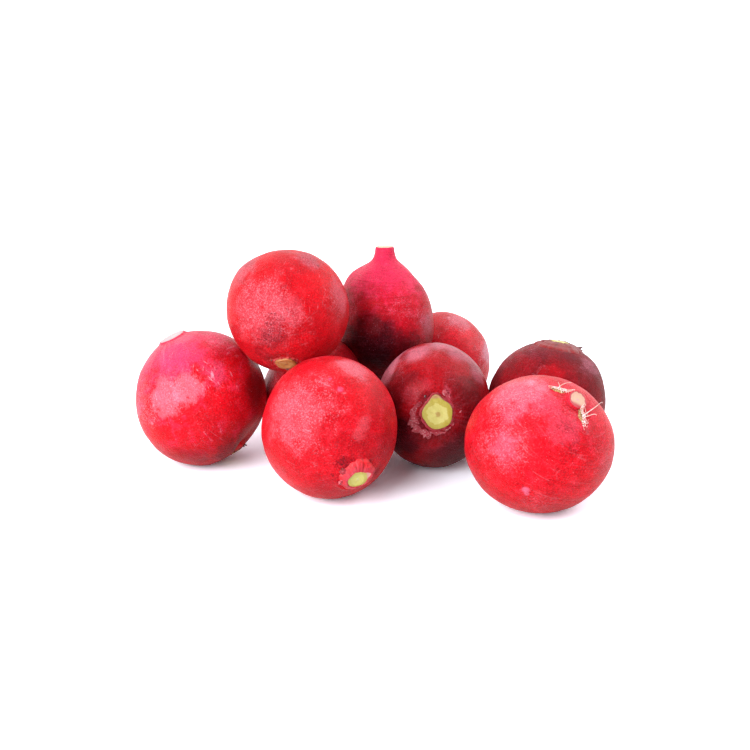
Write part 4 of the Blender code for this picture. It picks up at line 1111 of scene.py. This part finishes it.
# fresh and dried colour; elsewhere fresh is the collar's
driedLeaf = (0.09, 0.024, 0.014)
leafTints = {
    "middle": ((0.25, 0.018, 0.032), (0.050, 0.008, 0.010)),
    "far_right": ((0.20, 0.018, 0.028), (0.08, 0.010, 0.012)),
}
soilTint = (0.10, 0.014, 0.012)


def leafMaterial(name, crown, matrix):
    fresh, dried = leafTints.get(name, (crown["collar"], driedLeaf))
    material, tree, shader, place, node = newMaterial(
        name + "LeafBase", leafGroup, "leaf", matrix.translation, matrix.to_euler(), mm, Fresh=rgba(fresh),
        Dried=rgba(dried), Light=rgba(0.4 + 0.6 * part for part in fresh), Dark=rgba(0.2 * part for part in fresh))
    dryness = tree.nodes.new("ShaderNodeAttribute")
    dryness.attribute_name = "dryness"
    feed(tree, node.inputs["Dryness"], dryness.outputs["Fac"])
    return material


def neckMaterial(name, radish, crown, matrix):
    skin = radish["skin"]
    return newMaterial(
        name + "NeckSkin", neckGroup, "neck", matrix.translation, matrix.to_euler(), mm, Foot=rgba(skin["bright"]),
        Collar=rgba(crown["collar"]), Pale=rgba(skin["pale"]), Shade=rgba(0.25 * part for part in skin["deep"]),
        Soil=rgba(soilTint), Top=crown["neck"][0], Drift=radish["seed"] * 2.3)[0]


def makeCrown(name, radish, crown, s):
    matrix = crownPlacing(radish, crown)
    node = name + "_leaf_stalks"
    radius, height = crown["core"]
    core = makeCore(name, radish, crown, s)
    putInPlace(core, matrix)
    tints = dict(zip(("rind", "outer", "core", "pith"), crown["tints"]))
    cut = cutMaterial(name + "StalkCut", matrix @ Vector((0, 0, height * mm)), matrix.to_euler(), radius * mm, tints,
                      radish["seed"], crown["collar"])
    dress(core, cut, node)
    neck = makeNeck(name, radish, crown, s)
    putInPlace(neck, matrix)
    dress(neck, neckMaterial(name, radish, crown, matrix), node)
    leaves = [makeLeafBase(name, radish, crown, s, index) for index in range(len(crown["leaves"]))]
    joined = joinAll(leaves, name + "LeafBases")
    putInPlace(joined, matrix)
    dress(joined, leafMaterial(name, crown, matrix), node)


for radishName, crownSettings in crowns.items():
    makeCrown(radishName, radishes[radishName], {**usualCrown, **crownSettings}, crownShape)
print("crowns made:", len(crowns))

bodies = {}
for radishName, radishSettings in radishes.items():
    bodies[radishName] = makeBody(radishName, radishSettings, bodySettings)
print("bodies made:", len(bodies))

# from and to: the scar's ends as pixels; threads, curl (mm) and lean (the view's right and up) of the short curls
# long: first and last pixel of a long rootlet, and how high it stands off the skin (mm)
tufts = {
    "upper": {"from": (551, 386), "to": (569, 392), "node": "right_rootlets_upper", "threads": 12, "seed": 3,
              "curl": 1.9, "lean": (0.2, 1.0), "long": [((556, 388), (570, 383), 0.8), ((562, 391), (557, 382), 0.7)]},
    "lower": {"from": (582, 408), "to": (584, 425), "node": "right_rootlets_lower", "threads": 14, "seed": 8,
              "curl": 1.7, "lean": (1.0, 0.1), "long": [((585, 413), (602, 403), 1.2), ((586, 415), (597, 414), 0.7)]},
}
# mm where nothing else is said
threadShape = {
    "curlPoints": 8, "longPoints": 7,
    "thickness": 0.17, "thicknessSpread": 0.04, "longThickness": 0.25,
    "scarLength": 0.52,  # share of the way between its ends, to each side
    "scarWidth": 0.75, "scarHeight": 0.42, "scarSunk": 0.1,
    "scarRelief": (0.7, 0.55),  # size and height
}
# tint, its spots' tint and the spots' size
rootletFibre = ((0.80, 0.68, 0.68), (0.56, 0.34, 0.26), 0.6)
scarBark = ((0.16, 0.05, 0.03), (0.44, 0.28, 0.10), 1.6)


def ontoSkin(tree, point, middle):
    place = tree.find_nearest(point)[0]
    return place, (place - middle).normalized()


def makeThread(points, thickness):
    curve = bpy.data.curves.new("thread", "CURVE")
    curve.dimensions = "3D"
    curve.bevel_depth = thickness / 2 * mm
    curve.bevel_resolution = 2
    curve.use_fill_caps = True
    spline = curve.splines.new("NURBS")
    spline.points.add(len(points) - 1)
    spline.use_endpoint_u = True
    spline.order_u = 3
    for index, (point, place) in enumerate(zip(spline.points, points)):
        point.co = (*place, 1)
        point.radius = 1 - 0.6 * index / (len(points) - 1)
    thread = bpy.data.objects.new("thread", curve)
    bpy.context.scene.collection.objects.link(thread)
    selectOnly(thread)
    bpy.ops.object.convert(target="MESH")
    return bpy.context.object


def fibreMaterial(name, tint, spotTint, size):
    return newMaterial(name, fibreGroup, "fibre", (0, 0, 0), (0, 0, 0), mm, Tint=rgba(tint),
                       SpotTint=rgba(spotTint), Size=size)[0]


def makeTuft(side, s, shape):
    radish = radishes["right"]
    mesh = bodies["right"].data
    middle = Vector(radish["middle"]) * mm
    skinTree = BVHTree.FromPolygons([v.co for v in mesh.vertices], [tuple(p.vertices) for p in mesh.polygons])

    def at(pixel):
        return ontoSkin(skinTree, heapPlace(radish, pixel), middle)[0]

    def random(k):
        return noise.noise(Vector((k * 1.37, s["seed"] * 2.1, 0.4))) * 1.6

    threads = []
    start, end = at(s["from"]), at(s["to"])
    along = end - start
    leaning = viewTurn() @ Vector((*s["lean"], 0)) * mm
    for k in range(s["threads"]):
        # a short curl that starts in the scar and lies back on the skin
        foot = start + along * ((k + 0.5) / s["threads"])
        hop = 0.35 + 0.7 * abs(random(k + 20))
        points = []
        for step in range(shape["curlPoints"]):
            t = step / (shape["curlPoints"] - 1)
            turn = 2.2 * math.pi * t * (0.6 + 0.6 * abs(random(k + 50))) + 9 * random(k)
            spot = foot + leaning * (1.5 * t * (0.5 + abs(random(k + 70))))
            spot += along.normalized() * (s["curl"] * t * math.cos(turn) * mm)
            spot += leaning * (0.6 * s["curl"] * t * math.sin(turn))
            spot, out = ontoSkin(skinTree, spot, middle)
            points.append(spot + out * mm * (0.05 + hop * math.sin(math.pi * min(t * 1.05, 1))))
        threads.append(makeThread(points, shape["thickness"] + shape["thicknessSpread"] * random(k + 60)))
    for first, last, hop in s["long"]:
        foot, tip = at(first), at(last)
        points = []
        for step in range(shape["longPoints"]):
            t = step / (shape["longPoints"] - 1)
            spot, out = ontoSkin(skinTree, foot.lerp(tip, t), middle)
            wobble = along.normalized() * (0.3 * math.sin(5 * t + s["seed"]) * mm)
            points.append(spot + wobble * t + out * mm * (0.1 + hop * math.sin(math.pi * 0.75 * t)))
        threads.append(makeThread(points, shape["longThickness"]))
    tuft = joinAll(threads, side + "Rootlets")
    bpy.ops.object.transform_apply(location=True, rotation=True, scale=True)
    dress(tuft, fibreMaterial(side + "RootletFibre", *rootletFibre), s["node"])

    # the brown slit that they grow from
    bpy.ops.mesh.primitive_uv_sphere_add(segments=28, ring_count=16, radius=1)
    slit = bpy.context.object
    slit.name = side + "RootScar"
    centre, out = ontoSkin(skinTree, (start + end) / 2, middle)
    way = along.normalized()
    way = (way - out * way.dot(out)).normalized()
    turn = Matrix((way, out.cross(way), out)).transposed().to_4x4()
    size = Matrix.Diagonal((along.length * shape["scarLength"], shape["scarWidth"] * mm, shape["scarHeight"] * mm, 1))
    putInPlace(slit, Matrix.Translation(centre - out * shape["scarSunk"] * mm) @ turn @ size)
    displace(slit, *shape["scarRelief"])
    applyAll(slit)
    dress(slit, fibreMaterial(side + "ScarBark", *scarBark), s["node"])


for tuftSide, tuftSettings in tufts.items():
    makeTuft(tuftSide, tuftSettings, threadShape)
print("rootlets made:", len(tufts))

studio = {
    "floorSize": 8.0,
    "floorGives": (0.75, 0.74, 0.75),  # what the floor throws back onto the heap
    "floorSeen": (1.14, 1.20, 1.32),  # what the camera sees of it, overexposed as in the photograph
    "floorGlow": 0.6,  # away from the heap, so that the surface stays white
    "glowFrom": (0.10, 0.45),
    "sky": (0.50, 1.60),  # all round, and low behind the heap
    "skySeen": 2.0,  # the camera itself sees a white wall all round
    "aim": Vector((0, 0, 0.02)),
    "lamps": [  # name, place, side, watts
        ("keySoftbox", (-0.42, -0.52, 0.38), 0.60, 13.0),
        ("topSoftbox", (-0.08, 0.60, 1.00), 1.1, 3.5),
        ("sideSoftbox", (0.56, 0.16, 0.46), 0.5, 4.0),
    ],
}


def makeFloor(s):
    bpy.ops.mesh.primitive_plane_add(size=s["floorSize"], location=(0, 0, 0))
    floor = bpy.context.object
    floor.name = "studioFloor"
    material = bpy.data.materials.new("paleFloor")
    material.use_nodes = True
    tree = material.node_tree
    tree.nodes.clear()
    matte, shine, both, result, rays, coordinates = (tree.nodes.new("ShaderNode" + kind) for kind in (
        "BsdfDiffuse", "Emission", "AddShader", "OutputMaterial", "LightPath", "TexCoord"))
    tint = mixColour(tree, rays.outputs["Is Camera Ray"], rgba(s["floorGives"]), rgba(s["floorSeen"]))
    feed(tree, matte.inputs["Color"], tint)
    away = vectorNode(tree, "LENGTH", coordinates.outputs["Object"])
    feed(tree, shine.inputs["Strength"], between(tree, away, *s["glowFrom"], 0.0, s["floorGlow"]))
    feed(tree, both.inputs[0], matte.outputs[0])
    feed(tree, both.inputs[1], shine.outputs[0])
    feed(tree, result.inputs["Surface"], both.outputs[0])
    floor.data.materials.append(material)


def makeSky(s):
    world = bpy.context.scene.world or bpy.data.worlds.new("studioSky")
    bpy.context.scene.world = world
    world.use_nodes = True
    tree = world.node_tree
    sky = tree.nodes["Background"]
    feed(tree, sky.inputs["Color"], rgba((1, 1, 1)))
    depth = splitVector(tree, tree.nodes.new("ShaderNodeTexCoord").outputs["Generated"])["Y"]
    rays = tree.nodes.new("ShaderNodeLightPath")
    seen = times(tree, rays.outputs["Is Camera Ray"], s["skySeen"])
    light = between(tree, depth, 0.20, 0.50, *s["sky"])
    feed(tree, sky.inputs["Strength"], mathNode(tree, "MAXIMUM", light, seen))


def makeLamps(s):
    for name, place, side, watts in s["lamps"]:
        bpy.ops.object.light_add(type="AREA", location=place)
        lamp = bpy.context.object
        lamp.name = name
        lamp.data.shape = "SQUARE"
        lamp.data.size = side
        lamp.data.energy = watts
        lamp.rotation_euler = (s["aim"] - Vector(place)).to_track_quat("-Z", "Y").to_euler()


makeFloor(studio)
makeSky(studio)
makeLamps(studio)
print("studio made")
